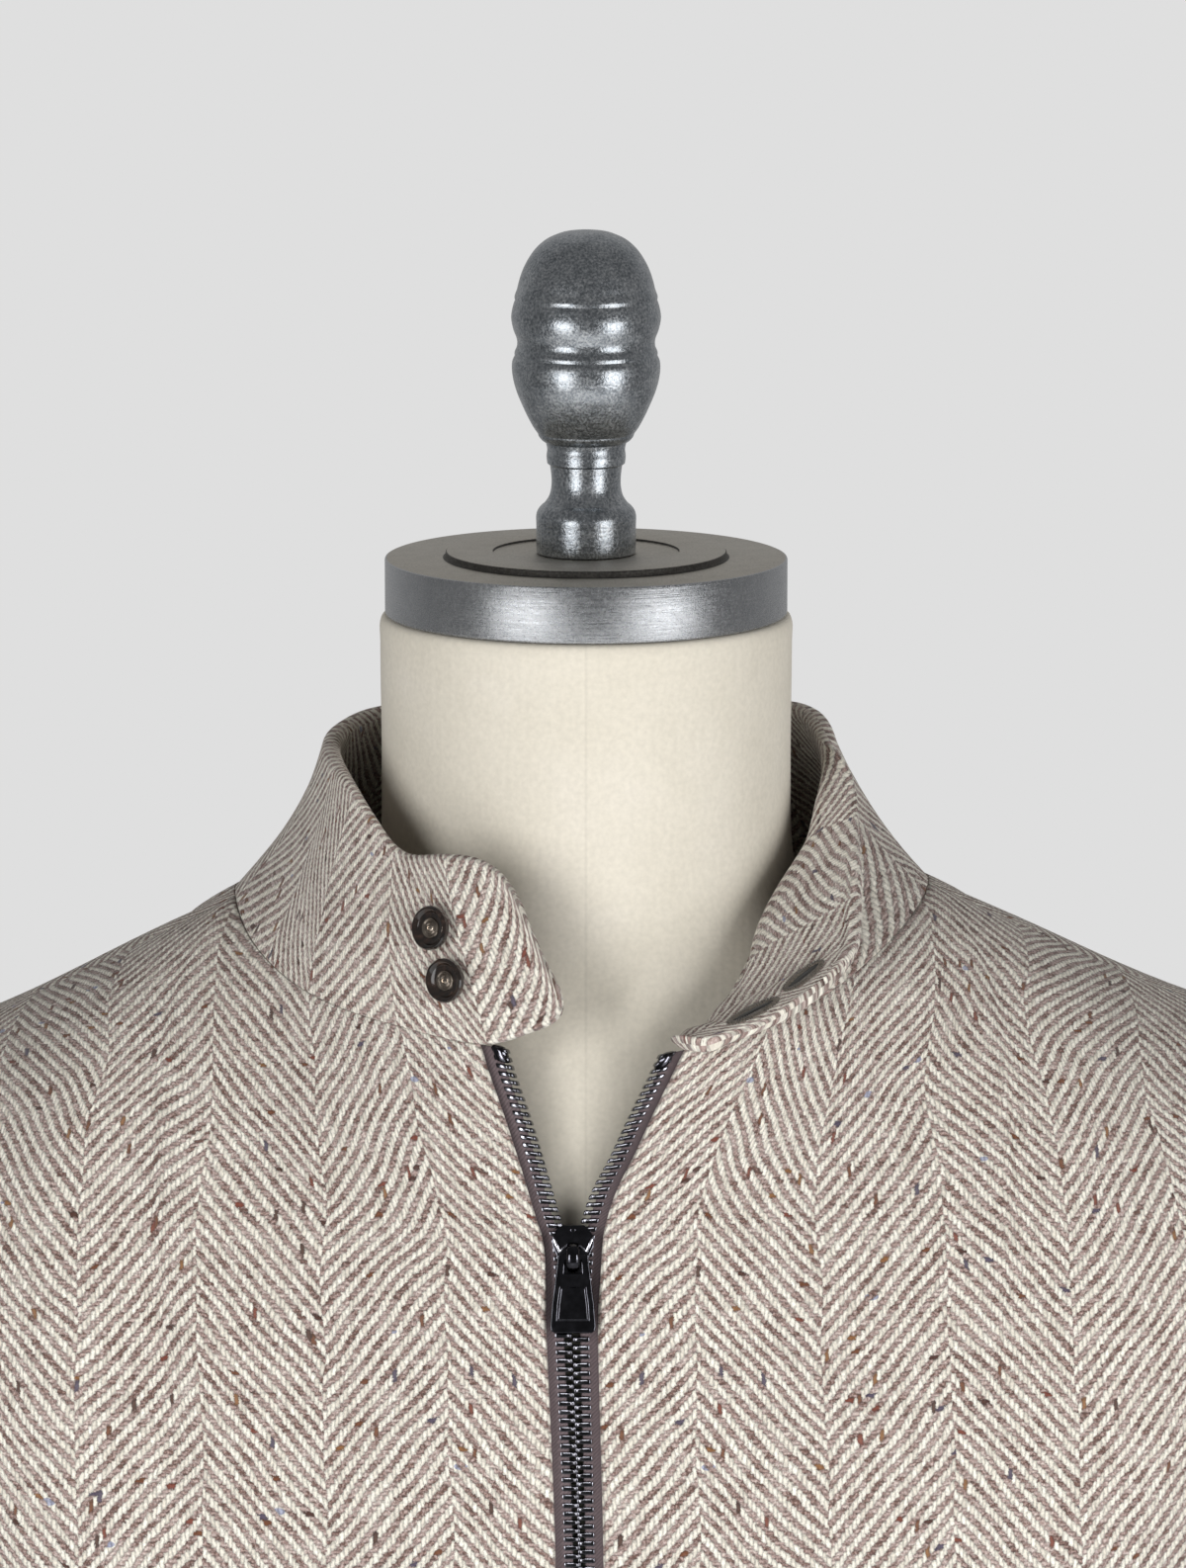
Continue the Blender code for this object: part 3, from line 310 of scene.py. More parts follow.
def put(tree, kind, values=(), operation=None, stops=(), **settings):
    """Adds a node with values or links on its inputs, in order or by name, and gives its output.

    stops are the places and hex colours along a colour ramp.
    """
    made = tree.nodes.new("ShaderNode" + kind)
    if operation:
        made.operation = operation
    for key, value in settings.items():
        setattr(made, key, value)
    for key, value in values.items() if isinstance(values, dict) else enumerate(values):
        if isinstance(value, bpy.types.NodeSocket):
            tree.links.new(value, made.inputs[key])
        else:
            made.inputs[key].default_value = value
    if stops:
        band = made.color_ramp.elements
        while len(band) < len(stops):
            band.new(0.5)
        for stop, (place, colour) in zip(band, stops):
            stop.position, stop.color = place, linear(colour)
    return made.outputs[0]


def bare_material(name, **values):
    """A Principled material with constants on its sockets."""
    material = bpy.data.materials.new(name)
    material.use_nodes = True
    shader = material.node_tree.nodes["Principled BSDF"]
    for key, value in values.items():
        shader.inputs[key.replace("_", " ")].default_value = value
    return material, material.node_tree, shader


def wire(tree, shader, **patterns):
    """Links patterns to a shader's sockets, named with _ for a space."""
    for key, pattern in patterns.items():
        tree.links.new(pattern, shader.inputs[key.replace("_", " ")])


def woven_herringbone():
    """Coarse woollen overcoating, a 2 and 2 twill that turns every 36 mm: thick cream warp
    over a mauve and brown weft, matt and a little hairy, with flecks of coloured wool."""
    material, t, shader = bare_material("herringbone_wool_woven", Roughness=0.93,
                                        Specular_IOR_Level=0.25, Sheen_Weight=0.18,
                                        Sheen_Roughness=0.6)
    place = put(t, "UVMap", uv_map="cloth")
    mm = put(t, "VectorMath", {0: place, 3: 1000.0}, 'SCALE')
    # hand-woven unevenness: the cloth wanders by about 1 mm, and each yarn by 0.2 mm
    moved = mm
    for scale, detail, roughness, sideways, upwards in (
            (0.035, 1.0, 0.5, 4.5, 4.5), (0.55, 2.0, 0.5, 1.3, 1.6), (2.6, 3.0, 0.7, 1.5, 1.5)):
        drift = put(t, "TexNoise", {"Vector": mm, "Scale": scale, "Detail": detail,
                                    "Roughness": roughness}).node.outputs[1]
        drift = put(t, "VectorMath", (drift, (0.5, 0.5, 0.5)), 'SUBTRACT')
        moved = put(t, "VectorMath", (drift, (sideways, upwards, 0.0), moved), 'MULTIPLY_ADD')
    across = put(t, "SeparateXYZ", (moved,))
    up = across.node.outputs[1]
    stripe = put(t, "Math", (across, STRIPE), 'DIVIDE')
    stripe = put(t, "Math", (stripe,), 'FLOOR')
    folded = put(t, "Math", (across, STRIPE), 'PINGPONG')
    end = put(t, "Math", (folded, END_SPACING), 'DIVIDE')
    pick = put(t, "Math", (up, PICK_SPACING), 'DIVIDE')
    pick = put(t, "Math", (stripe, 2.0, pick), 'MULTIPLY_ADD')
    end_number = put(t, "Math", (end,), 'FLOOR')
    pick_number = put(t, "Math", (pick,), 'FLOOR')
    beside = put(t, "Math", (end,), 'FRACT')
    # a float steps over by one end at a time, and its spun yarn slants, so steps are half eased
    eased = put(t, "Math", (beside, 0.55, end_number), 'MULTIPLY_ADD')
    both = put(t, "Math", (eased, pick), 'ADD')
    step = put(t, "Math", (both, 4.0), 'FLOORED_MODULO')
    warp_on = put(t, "Math", (step, WARP_FLOAT), 'LESS_THAN')
    float_number = put(t, "Math", (both, 4.0), 'DIVIDE')
    float_number = put(t, "Math", (float_number,), 'FLOOR')
    # place along the float that lies on top, 0 to 1, and across its yarn, -1 to 1
    warp_run = put(t, "Math", (step, WARP_FLOAT), 'DIVIDE')
    weft_run = put(t, "MapRange", (step, WARP_FLOAT, 4.0, 0.0, 1.0))
    run = put(t, "Mix", {0: warp_on, 2: weft_run, 3: warp_run})
    side = put(t, "Mix", {0: warp_on, 2: pick, 3: end})
    side = put(t, "Math", (side,), 'FRACT')
    side = put(t, "Math", (side, 2.0, -1.0), 'MULTIPLY_ADD')
    hump = put(t, "Math", (side, side), 'MULTIPLY')
    hump = put(t, "Math", (1.0, hump), 'SUBTRACT')
    hump = put(t, "Math", (hump, 0.5), 'POWER')
    arch = put(t, "Math", (1.0, run), 'SUBTRACT')
    arch = put(t, "Math", (arch, run), 'MULTIPLY')
    arch = put(t, "Math", (arch, 3.0, 0.25), 'MULTIPLY_ADD')
    round_yarn = put(t, "Math", (hump, arch), 'MULTIPLY')
    # every float has its own number, for its shade and its flecks
    yarn = put(t, "Mix", {0: warp_on, 2: pick_number, 3: end_number})
    number = put(t, "CombineXYZ", (yarn, float_number, stripe))
    number = put(t, "VectorMath", (number, (0.37, 0.73, 0.59)), 'ADD')
    chance = put(t, "TexWhiteNoise", {"Vector": number}).node.outputs[1]
    shade = put(t, "SeparateColor", (chance,))
    other = shade.node.outputs[1]
    third = shade.node.outputs[2]
    # thick and thin places in the weft, some centimetres long
    slub = put(t, "TexNoise", {"Vector": mm, "Scale": 0.11, "Detail": 2.0})
    tone = put(t, "Math", (slub, 1.2, -0.45), 'MULTIPLY_ADD')
    tone = put(t, "Math", (shade, 0.5, tone), 'MULTIPLY_ADD')
    # the wool was dyed in the fibre: light and dark hairs lie mixed in each yarn
    mixed = put(t, "TexNoise", {"Vector": mm, "Scale": 1.15, "Detail": 3.0, "Roughness": 0.7})
    tone = put(t, "Math", (mixed, 2.6, tone), 'MULTIPLY_ADD')
    tone = put(t, "Math", (tone, 1.3), 'SUBTRACT')
    weft = put(t, "ValToRGB", (tone,), stops=(
        (0.0, "#6a4f46"), (0.18, "#8d746c"), (0.5, "#aa958e"), (0.8, "#bfaea7"), (1.0, "#cfc3ba")))
    warp = put(t, "ValToRGB", (shade,), stops=(
        (0.0, "#d6cfc2"), (0.35, "#e2dccf"), (1.0, "#efeade")))
    colour = put(t, "Mix", {0: warp_on, 6: weft, 7: warp}, data_type='RGBA').node.outputs[2]
    # flecks: rust, tan, dark brown and a rare dusty blue
    fleck = put(t, "ValToRGB", (third,), stops=(
        (0.0, "#6b3d22"), (0.3, "#855a34"), (0.5, "#47291f"), (0.7, "#763b2c"), (0.85, "#4e4558")))
    fleck.node.color_ramp.interpolation = 'CONSTANT'
    is_fleck = put(t, "Math", (other, 0.984), 'GREATER_THAN')
    is_fleck = put(t, "Math", (is_fleck, 0.95), 'MULTIPLY')
    colour = put(t, "Mix", {0: is_fleck, 6: colour, 7: fleck}, data_type='RGBA').node.outputs[2]
    blue_place = put(t, "Mapping", {"Vector": mm, "Scale": (0.06, 0.12, 1.0)})
    blue = put(t, "TexVoronoi", {"Vector": blue_place, "Scale": 1.0})
    blue_chance = put(t, "SeparateColor", (blue.node.outputs[1],))
    near = put(t, "Math", (blue, 0.13), 'LESS_THAN')
    rare = put(t, "Math", (blue_chance, 0.17), 'LESS_THAN')
    is_blue = put(t, "Math", (near, rare), 'MULTIPLY')
    is_blue = put(t, "Math", (is_blue, warp_on), 'MULTIPLY')
    is_blue = put(t, "Math", (is_blue, 0.75), 'MULTIPLY')
    colour = put(t, "Mix", {0: is_blue, 6: colour, 7: linear("#8089ad")},
                 data_type='RGBA').node.outputs[2]
    # painted shade: the gaps between the yarns and the ends of each float are darkened, and the
    # fibres' own light and dark tone is mixed in
    yarn_shade_and_tone = put(t, "Math", (round_yarn, 0.75, 0.42), 'MULTIPLY_ADD')
    yarn_shade_and_tone = put(t, "Math", (yarn_shade_and_tone, 1.0), 'MINIMUM')
    strand = put(t, "MapRange", (mixed, 0.35, 0.62, 0.78, 1.1))
    yarn_shade_and_tone = put(t, "Math", (yarn_shade_and_tone, strand), 'MULTIPLY')
    colour = put(t, "VectorMath", {0: colour, 3: yarn_shade_and_tone}, 'SCALE')
    hair = put(t, "TexNoise", {"Vector": mm, "Scale": 1.6, "Detail": 3.0})
    height = put(t, "Math", (warp_on, 0.25, round_yarn), 'MULTIPLY_ADD')
    height = put(t, "Math", (hair, 0.5, height), 'MULTIPLY_ADD')
    bump = put(t, "Bump", {"Height": height, "Distance": 0.00045, "Strength": 0.8})
    wire(t, shader, Base_Color=colour, Normal=bump)
    return material


def canvas():
    """Unbleached cotton canvas, glued and sewn over the form: plain weave, matt, with
    slight yellowing and handling marks."""
    material, t, shader = bare_material("cream_canvas_woven", Roughness=0.9,
                                        Specular_IOR_Level=0.2, Sheen_Weight=0.1)
    here = put(t, "TexCoord").node.outputs["Object"]
    # stains about 70 mm across
    cloudy = put(t, "TexNoise", {"Vector": here, "Scale": 14.0, "Detail": 4.0, "Roughness": 0.6})
    colour = put(t, "ValToRGB", (cloudy,), stops=(
        (0.3, "#bfb9ab"), (0.55, "#c7c1b4"), (0.75, "#cec8bd")))
    # the seam down the middle of the front and of the back
    sideways = put(t, "SeparateXYZ", (here,))
    sideways = put(t, "Math", (sideways,), 'ABSOLUTE')
    seam = put(t, "MapRange", (sideways, 0.0001, 0.0006, 0.93, 1.0))
    colour = put(t, "VectorMath", {0: colour, 3: seam}, 'SCALE')
    # plain weave of 0.6 mm yarns, too fine for the picture, so drawn at 2.9 mm
    threads = [put(t, "TexWave", {"Vector": here, "Scale": 110.0, "Distortion": 0.8,
                                  "Detail": 1.0}, bands_direction=way) for way in "ZX"]
    weave = put(t, "Math", threads, 'ADD')
    speck = put(t, "TexNoise", {"Vector": here, "Scale": 650.0, "Detail": 3.0})
    weave = put(t, "Math", (speck, 1.2, weave), 'MULTIPLY_ADD')
    fine = put(t, "MapRange", (speck, 0.3, 0.7, 0.93, 1.03))
    colour = put(t, "VectorMath", {0: colour, 3: fine}, 'SCALE')
    bump = put(t, "Bump", {"Height": weave, "Distance": 0.00008, "Strength": 0.3})
    wire(t, shader, Base_Color=colour, Normal=bump)
    return material


def cast_aluminium(name, stops, roughness, lines, scratch_height, pits=1.0):
    """Sand-cast aluminium, turned on a lathe and handled for years: mottled grey with fine
    pits.  lines are how closely the tool marks lie along x, y and z, per metre."""
    material, t, shader = bare_material(name, Metallic=1.0, Roughness=roughness[0])
    here = put(t, "TexCoord").node.outputs["Object"]
    # mottling about 6 mm across, and the sand's grit of 0.7 mm
    cloud = put(t, "TexNoise", {"Vector": here, "Scale": 170.0, "Detail": 7.0, "Roughness": 0.75})
    grit = put(t, "TexNoise", {"Vector": here, "Scale": 1500.0, "Detail": 3.0})
    mottle = put(t, "Mix", {0: 0.6, 2: cloud, 3: grit})
    colour = put(t, "ValToRGB", (mottle,), stops=(
        (0.36, stops[0]), (0.5, stops[1]), (0.64, stops[2])))
    marks = put(t, "Mapping", {"Vector": here, "Scale": lines})
    scratch = put(t, "TexNoise", {"Vector": marks, "Scale": 1.0, "Detail": 5.0, "Roughness": 0.65})
    rough = put(t, "Math", (scratch, 0.5, mottle), 'MULTIPLY_ADD')
    rough = put(t, "MapRange", (rough, 0.6, 0.9, roughness[0], roughness[1]))
    mottle = put(t, "Math", (mottle, pits), 'MULTIPLY')
    mixed = put(t, "Math", (scratch, scratch_height, mottle), 'MULTIPLY_ADD')
    bump = put(t, "Bump", {"Height": mixed, "Distance": 0.00012, "Strength": 0.7})
    wire(t, shader, Base_Color=colour, Roughness=rough, Normal=bump)
    return material


def painted_steel():
    """Mild steel with baked black enamel, satin, with a slight orange-peel ripple."""
    material, t, shader = bare_material("black_painted_steel_enamelled", Roughness=0.38,
                                        Base_Color=linear("#1b1b1c"), Coat_Weight=0.3,
                                        Coat_Roughness=0.25)
    here = put(t, "TexCoord").node.outputs["Object"]
    # ripples about 4 mm across
    ripple = put(t, "TexNoise", {"Vector": here, "Scale": 260.0, "Detail": 2.0})
    rough = put(t, "MapRange", (ripple, 0.3, 0.7, 0.32, 0.46))
    bump = put(t, "Bump", {"Height": ripple, "Distance": 0.0002, "Strength": 0.3})
    wire(t, shader, Roughness=rough, Normal=bump)
    return material


def woven_tape():
    """Polyester zip tape, woven in a fine twill: mauve-grey, matt, with slanting ribs."""
    material, t, shader = bare_material("zip_tape_woven", Roughness=0.85, Sheen_Weight=0.2)
    place = put(t, "UVMap", uv_map="cloth")
    mm = put(t, "VectorMath", {0: place, 3: 1000.0}, 'SCALE')
    # ribs 0.8 mm apart, across the corner, as a twill's are
    ribs = put(t, "TexWave", {"Vector": mm, "Scale": 0.55, "Distortion": 0.6, "Detail": 1.0},
               bands_direction='DIAGONAL')
    grain = put(t, "TexNoise", {"Vector": mm, "Scale": 1.4, "Detail": 3.0})
    both = put(t, "Math", (grain, 1.0, ribs), 'MULTIPLY_ADD')
    colour = put(t, "ValToRGB", (both,), stops=(
        (0.3, "#52474a"), (0.8, "#5b5052"), (1.4, "#64585a")))
    bump = put(t, "Bump", {"Height": both, "Distance": 0.00015, "Strength": 0.3})
    wire(t, shader, Base_Color=colour, Normal=bump)
    return material


def plated(name, colour, roughness, wear):
    """Die-cast zinc with dark nickel plating: glossy, a shade lighter where it is worn; a bright
    kind paints the highlight on the slider's V.
    """
    material, t, shader = bare_material(name, Metallic=1.0, Roughness=roughness)
    here = put(t, "TexCoord").node.outputs["Object"]
    # the plating clouds over about 2.4 mm
    cloud = put(t, "TexNoise", {"Vector": here, "Scale": 420.0, "Detail": 3.0})
    tint = put(t, "ValToRGB", (cloud,), stops=((0.3, colour), (0.75, wear)))
    rough = put(t, "MapRange", (cloud, 0.3, 0.7, roughness * 0.7, roughness * 1.5))
    bump = put(t, "Bump", {"Height": cloud, "Distance": 0.00004, "Strength": 0.4})
    wire(t, shader, Base_Color=tint, Roughness=rough, Normal=bump)
    return material


def horn():
    """Buffalo horn, turned and buffed: near black with brown streaks under a gloss."""
    material, t, shader = bare_material("dark_horn_polished", Roughness=0.12,
                                        Coat_Weight=0.6, Coat_Roughness=0.05)
    here = put(t, "TexCoord").node.outputs["Object"]
    # streaks about 1 mm wide and 5 mm long
    streaks = put(t, "Mapping", {"Vector": here, "Scale": (180.0, 900.0, 420.0)})
    cloud = put(t, "TexNoise", {"Vector": streaks, "Scale": 1.0, "Detail": 4.0})
    colour = put(t, "ValToRGB", (cloud,), stops=(
        (0.35, "#0d0a08"), (0.6, "#211712"), (0.8, "#3f2e25")))
    bump = put(t, "Bump", {"Height": cloud, "Distance": 0.00003, "Strength": 0.3})
    wire(t, shader, Base_Color=colour, Normal=bump)
    return material


def sewing_thread(name, dark, light):
    """Buttonhole twist, a plied thread with a slight silk gloss; near black, it also paints the
    shadow in the slit.
    """
    material, t, shader = bare_material(name, Roughness=0.6, Sheen_Weight=0.2)
    here = put(t, "TexCoord").node.outputs["Object"]
    # the twist of the plies shows as flecks of 0.7 mm
    ply = put(t, "TexNoise", {"Vector": here, "Scale": 1500.0, "Detail": 2.0})
    colour = put(t, "ValToRGB", (ply,), stops=((0.3, dark), (0.7, light)))
    bump = put(t, "Bump", {"Height": ply, "Distance": 0.0001, "Strength": 0.6})
    wire(t, shader, Base_Color=colour, Normal=bump)
    return material


# --- making pieces ----------------------------------------------------------------------
def mesh_piece(name, points, faces, material):
    """A new mesh object at the origin."""
    mesh = bpy.data.meshes.new(name)
    mesh.from_pydata(points, [], faces)
    mesh.materials.append(material)
    piece = bpy.data.objects.new(name, mesh)
    bpy.context.scene.collection.objects.link(piece)
    return piece


def copies(name, tool, places, material):
    """One mesh with a copy of a small piece at each place, given as its axes and its centre."""
    shape = np.array([vertex.co for vertex in tool.data.vertices])
    faces = [list(face.vertices) for face in tool.data.polygons]
    points = np.concatenate([shape @ np.array(axes) + np.array(centre)
                             for axes, centre in places])
    return mesh_piece(name, points.tolist(), [
        [index * len(shape) + corner for corner in face]
        for index in range(len(places)) for face in faces], material)


def running(steps, axis):
    """Running totals along one way of a grid, from zero."""
    return np.insert(np.cumsum(steps, axis=axis), 0, 0.0, axis=axis)


# --- cloth shells -----------------------------------------------------------------------
RIM_ROWS = 5                  # rows round a quarter turn of a rounded edge


def normals_of(points):
    """Unit normals of a grid of points, from their neighbours along both ways."""
    sideways = np.gradient(points, axis=1)
    upwards = np.gradient(points, axis=0)
    normal = np.cross(sideways, upwards)
    return normal / np.maximum(np.linalg.norm(normal, axis=2, keepdims=True), 1e-12)


def with_rims(grid, thickness, radii):
    """Puts rim rows round each end of the first axis, and says how deep each one lies."""
    turns = [math.radians(90 - 90 * step / (RIM_ROWS - 1)) for step in range(RIM_ROWS)]
    depth = [thickness / 2 * (1 - math.cos(turn)) for turn in turns]
    reach = np.array([1 - math.sin(turn) for turn in turns])

    def rim(rows, radius):
        steps = np.linalg.norm(np.diff(rows[:, :, :3], axis=0), axis=2)
        far = running(steps, 0)
        skip = int(np.sum(far.mean(axis=1) < radius * 1.1))
        made = np.empty((RIM_ROWS, *rows.shape[1:]))
        for column in range(rows.shape[1]):
            wanted = reach * min(radius, far[skip, column] * 0.95)
            for item in range(rows.shape[2]):
                made[:, column, item] = np.interp(wanted, far[:, column], rows[:, column, item])
        return made, skip

    first, start = rim(grid, radii[0])
    last, end = rim(grid[::-1], radii[1])
    middle = grid[start:len(grid) - end]
    rows = np.concatenate([first, middle, last[::-1]])
    return rows, np.array(depth + [0.0] * len(middle) + depth[::-1])


def eased(field, passes):
    """Moves each value of a grid towards the middle of its neighbours, both ways."""
    for _ in range(passes):
        field[1:-1] += 0.25 * (field[:-2] - 2 * field[1:-1] + field[2:])
        field[:, 1:-1] += 0.25 * (field[:, :-2] - 2 * field[:, 1:-1] + field[:, 2:])
    return field


def cloth_shell(name, grid, thickness, radii, material, outwards, raise_by=None, inner_gain=1.0,
                soften=0):
    """A closed shell of cloth with rounded edges.

    grid has rows of x, y, z, u, v in metres on the outer face; outwards is 1 where the
    grid's own normals point out and -1 where they point in.  radii are those of the
    bottom, top, first and last edges in mm.  inner_gain is how much closer the weave lies on
    the inner face, and soften is how many passes round that face off, on thick cloth.
    """
    radii = [radius * MM for radius in radii]
    rows, row_depth = with_rims(grid, thickness, radii[:2])
    columns, column_depth = with_rims(rows.transpose(1, 0, 2), thickness, radii[2:])
    rows = columns.transpose(1, 0, 2)
    points, uv = rows[:, :, :3], rows[:, :, 3:]
    normal = normals_of(points) * outwards
    depth = np.maximum(row_depth[:, None], column_depth[None, :])[:, :, None]
    if raise_by is not None:
        points = points + normal * raise_by(points)[:, :, None]
        normal = normals_of(points) * outwards
    if soften:
        normal = eased(normal, soften)
        normal /= np.linalg.norm(normal, axis=2, keepdims=True)
    outer = points - normal * depth
    inner = points - normal * (thickness - depth)
    rim = RIM_ROWS - 2
    inner[rim + 1:-rim - 1, rim + 1:-rim - 1] = eased(inner[rim:-rim, rim:-rim].copy(),
                                                      soften)[1:-1, 1:-1]
    height, width = depth.shape[:2]
    outer_index = np.arange(height * width).reshape(height, width)
    inner_index = outer_index + height * width
    for edge in (np.s_[0, :], np.s_[-1, :], np.s_[:, 0], np.s_[:, -1]):
        inner_index[edge] = outer_index[edge]

    def quads(index, turn):
        corners = [index[:-1, :-1], index[:-1, 1:], index[1:, 1:], index[1:, :-1]]
        return np.stack(corners[::turn], axis=-1).reshape(-1, 4)

    faces = np.concatenate([quads(outer_index, outwards), quads(inner_index, -outwards)])
    places = np.concatenate([outer.reshape(-1, 3), inner.reshape(-1, 3)])
    maps = np.concatenate([uv.reshape(-1, 2), uv.reshape(-1, 2)])
    used, faces = np.unique(faces, return_inverse=True)
    faces = faces.reshape(-1, 4)
    piece = mesh_piece(name, places[used].tolist(), faces.tolist(), material)
    mesh = piece.data
    layer = mesh.uv_layers.new(name="cloth")
    loops = np.zeros(len(mesh.loops), dtype=np.int32)
    mesh.loops.foreach_get("vertex_index", loops)
    face_maps = maps[used][loops]
    face_maps[len(loops) // 2:] *= inner_gain
    layer.data.foreach_set("uv", face_maps.astype(np.float32).ravel())
    mesh.shade_smooth()
    return piece


def surface_lengths(points, outwards, grain):
    """Cloth measure over a grid: how far each step runs across and up the grain.

    The grain at a point is the flat cloth's own x and z, tilted by the least turn that
    takes the flat cloth's face to the surface there.
    """
    normal = normals_of(points) * outwards
    flat = np.array(grain, dtype=float)
    cosine = normal @ flat
    axis = np.cross(np.broadcast_to(flat, normal.shape), normal)
    tilt = 1.0 / np.maximum(1.0 + cosine, 0.15)

    def carried(direction):
        turned = np.cross(axis, direction)
        return direction + turned + np.cross(axis, turned) * tilt[:, :, None]

    return carried(np.array((1.0, 0.0, 0.0))), carried(np.array((0.0, 0.0, 1.0)))


# --- the coat's body --------------------------------------------------------------------
def collar_base(station):
    """Base line of the collar's outer face, which is also the neckline of the body."""
    x, y, drop = smooth_row(COLLAR_STATIONS, station)[:3]
    return Vector((x, y, drop))


def shoulder_shift(side, drop):
    """How much lower a side's shoulder sits, fading out to the underarm."""
    top, underarm = ARMHOLE["front"][0][2], ARMHOLE["front"][-1][2]
    return SHOULDER_DROP[side] * max(0.0, min(1.0, (underarm - drop) / (underarm - top)))


def armhole_point(face, side, share):
    """A point of the armhole, from the shoulder tip (0) to the underarm (1)."""
    rows = ARMHOLE[face]
    x, y, drop = smooth_row(rows, share * (len(rows) - 1))
    return Vector((side * x, y, drop + shoulder_shift(side, drop)))


@lru_cache(maxsize=None)
def boundary_point(face, side, share):
    """The body's upper edge: neckline, then shoulder seam, then armhole."""
    if face == "front":
        ends = {-1: (ZIP_TOP_STATION, NECK_POINT_STATION),
                1: (OTHER_ZIP_TOP_STATION, OTHER_NECK_POINT_STATION)}
    else:
        ends = {-1: (MIDDLE_BACK_STATION, NECK_POINT_STATION),
                1: (MIDDLE_BACK_STATION, OTHER_NECK_POINT_STATION)}
    first, last = ends[side]
    if share <= NECK_SHARE:
        return collar_base(first + (last - first) * share / NECK_SHARE)
    if share <= TIP_SHARE:
        f = (share - NECK_SHARE) / (TIP_SHARE - NECK_SHARE)
        point = collar_base(last).lerp(armhole_point(face, side, 0.0), f)
        point.z += 2.5 * math.sin(math.pi * f)
        return point
    return armhole_point(face, side, (share - TIP_SHARE) / (1 - TIP_SHARE))


@lru_cache(maxsize=None)
def quarter_ring(face, drop):
    """A quarter of a body ring, from the middle to the side seam."""
    _, half_width, front, back, squareness = row_for(BODY_RINGS, drop)
    reach = -front if face == "front" else back
    count = 40
    return tuple(
        Vector((half_width * math.sin(turn) ** (2 / squareness),
                reach * math.cos(turn) ** (2 / squareness), drop))
        for turn in (0.5 * math.pi * step / count for step in range(count + 1))
    )


def fold_depth(face, side, share, drop):
    """How far the hanging folds push the cloth out."""
    fall = max(0.0, (drop - FOLD_START_DROP) / (HEM_DROP - FOLD_START_DROP))
    total = 0.0
    for fold_face, fold_side, centre, half_width, depth in HEM_FOLDS:
        away = abs(share - centre) / half_width
        if (fold_face, fold_side) == (face, side) and away < 1.0:
            total += depth * (0.5 + 0.5 * math.cos(math.pi * away))
    return total * fall ** 1.3


@lru_cache(maxsize=None)
def ring_point(face, side, share, drop):
    """A point of a body ring with its folds."""
    arc = row_for(RING_SHARES, share)[1]
    point = along(quarter_ring(face, drop), arc)
    out = Vector((point.x, point.y * 1.3, 0.0)).normalized()
    point = point + out * fold_depth(face, side, share, drop)
    point.x *= side
    return point


def zip_spread(side, drop):
    """Sideways place of a front edge: half the gap, the zip's lean, and its opening."""
    opened = max(0.0, (ZIP_OPEN_DROP - drop) / ZIP_OPEN_HEIGHT)
    lean = row_for(ZIP_LEAN, drop)[1]
    return lean + side * (ZIP_GAP / 2 + ZIP_OPEN_REACH[side] * opened ** 1.45)


def edge_pull(share):
    """How strongly a column follows the front edge: all at the edge, none at the neck point."""
    return max(0.0, 1.0 - share / NECK_SHARE) ** 1.4


def body_point(face, side, share, height):
    """The body's outer face: height 0 is the hem, 1 the upper edge."""
    if height <= RING_HEIGHT:
        drop = HEM_DROP + (RING_DROP - HEM_DROP) * height / RING_HEIGHT
        point = ring_point(face, side, share, drop).copy()
    else:
        f = (height - RING_HEIGHT) / (1 - RING_HEIGHT)
        start = ring_point(face, side, share, RING_DROP)
        end = boundary_point(face, side, share).copy()
        if face == "front":
            end.x -= zip_spread(side, end.z) * edge_pull(share)
        _, inward, across, rise, strength = row_for(ARRIVAL[face], share)
        length = (end - start).length
        leave = Vector((0.0, 0.0, -length))
        if face == "back":
            across = -across
        arrive = Vector((-side * inward, across, -rise)) * length * strength
        point = hermite(start, leave, end, arrive, f)
    if face == "front":
        spread = zip_spread(side, point.z) + side * row_for(ZIP_EASE[side], point.z)[1]
        point.x += spread * edge_pull(share)
    return spot(*point)


def body_grid(face, side):
    """A fine grid of one half of a face, from the hem up, from the middle to the side seam."""
    shares = steps_between(0.0, NECK_SHARE, 26) + steps_between(NECK_SHARE, TIP_SHARE, 16)
    shares += steps_between(TIP_SHARE, 1.0, 32) + [1.0]
    below = steps_between(0.0, RING_HEIGHT, 40)
    heights = below + steps_between(RING_HEIGHT, 1.0, 76) + [1.0]
    points = np.array([[body_point(face, side, share, height) for share in shares]
                       for height in heights])
    return points, len(below)


def grained(points, outwards, face_way, level_row, gain_table):
    """Adds the cloth's own u and v to a grid: u runs from its first column, v from a row."""
    across, upward = surface_lengths(points, outwards, face_way)
    middle = (across[:, 1:] + across[:, :-1]) / 2
    run = np.sum(np.diff(points, axis=1) * middle, axis=2)
    drop = CAP_FACE_HEIGHT - points[:, :, 2] / MM
    run *= np.interp((drop[:, 1:] + drop[:, :-1]) / 2, *zip(*gain_table))
    u = running(run, 1)
    middle = (upward[1:] + upward[:-1]) / 2
    v = running(np.sum(np.diff(points, axis=0) * middle, axis=2), 0)
    v += (points[level_row, :, 2] - v[level_row])[None, :]
    return np.dstack([points, u, v])
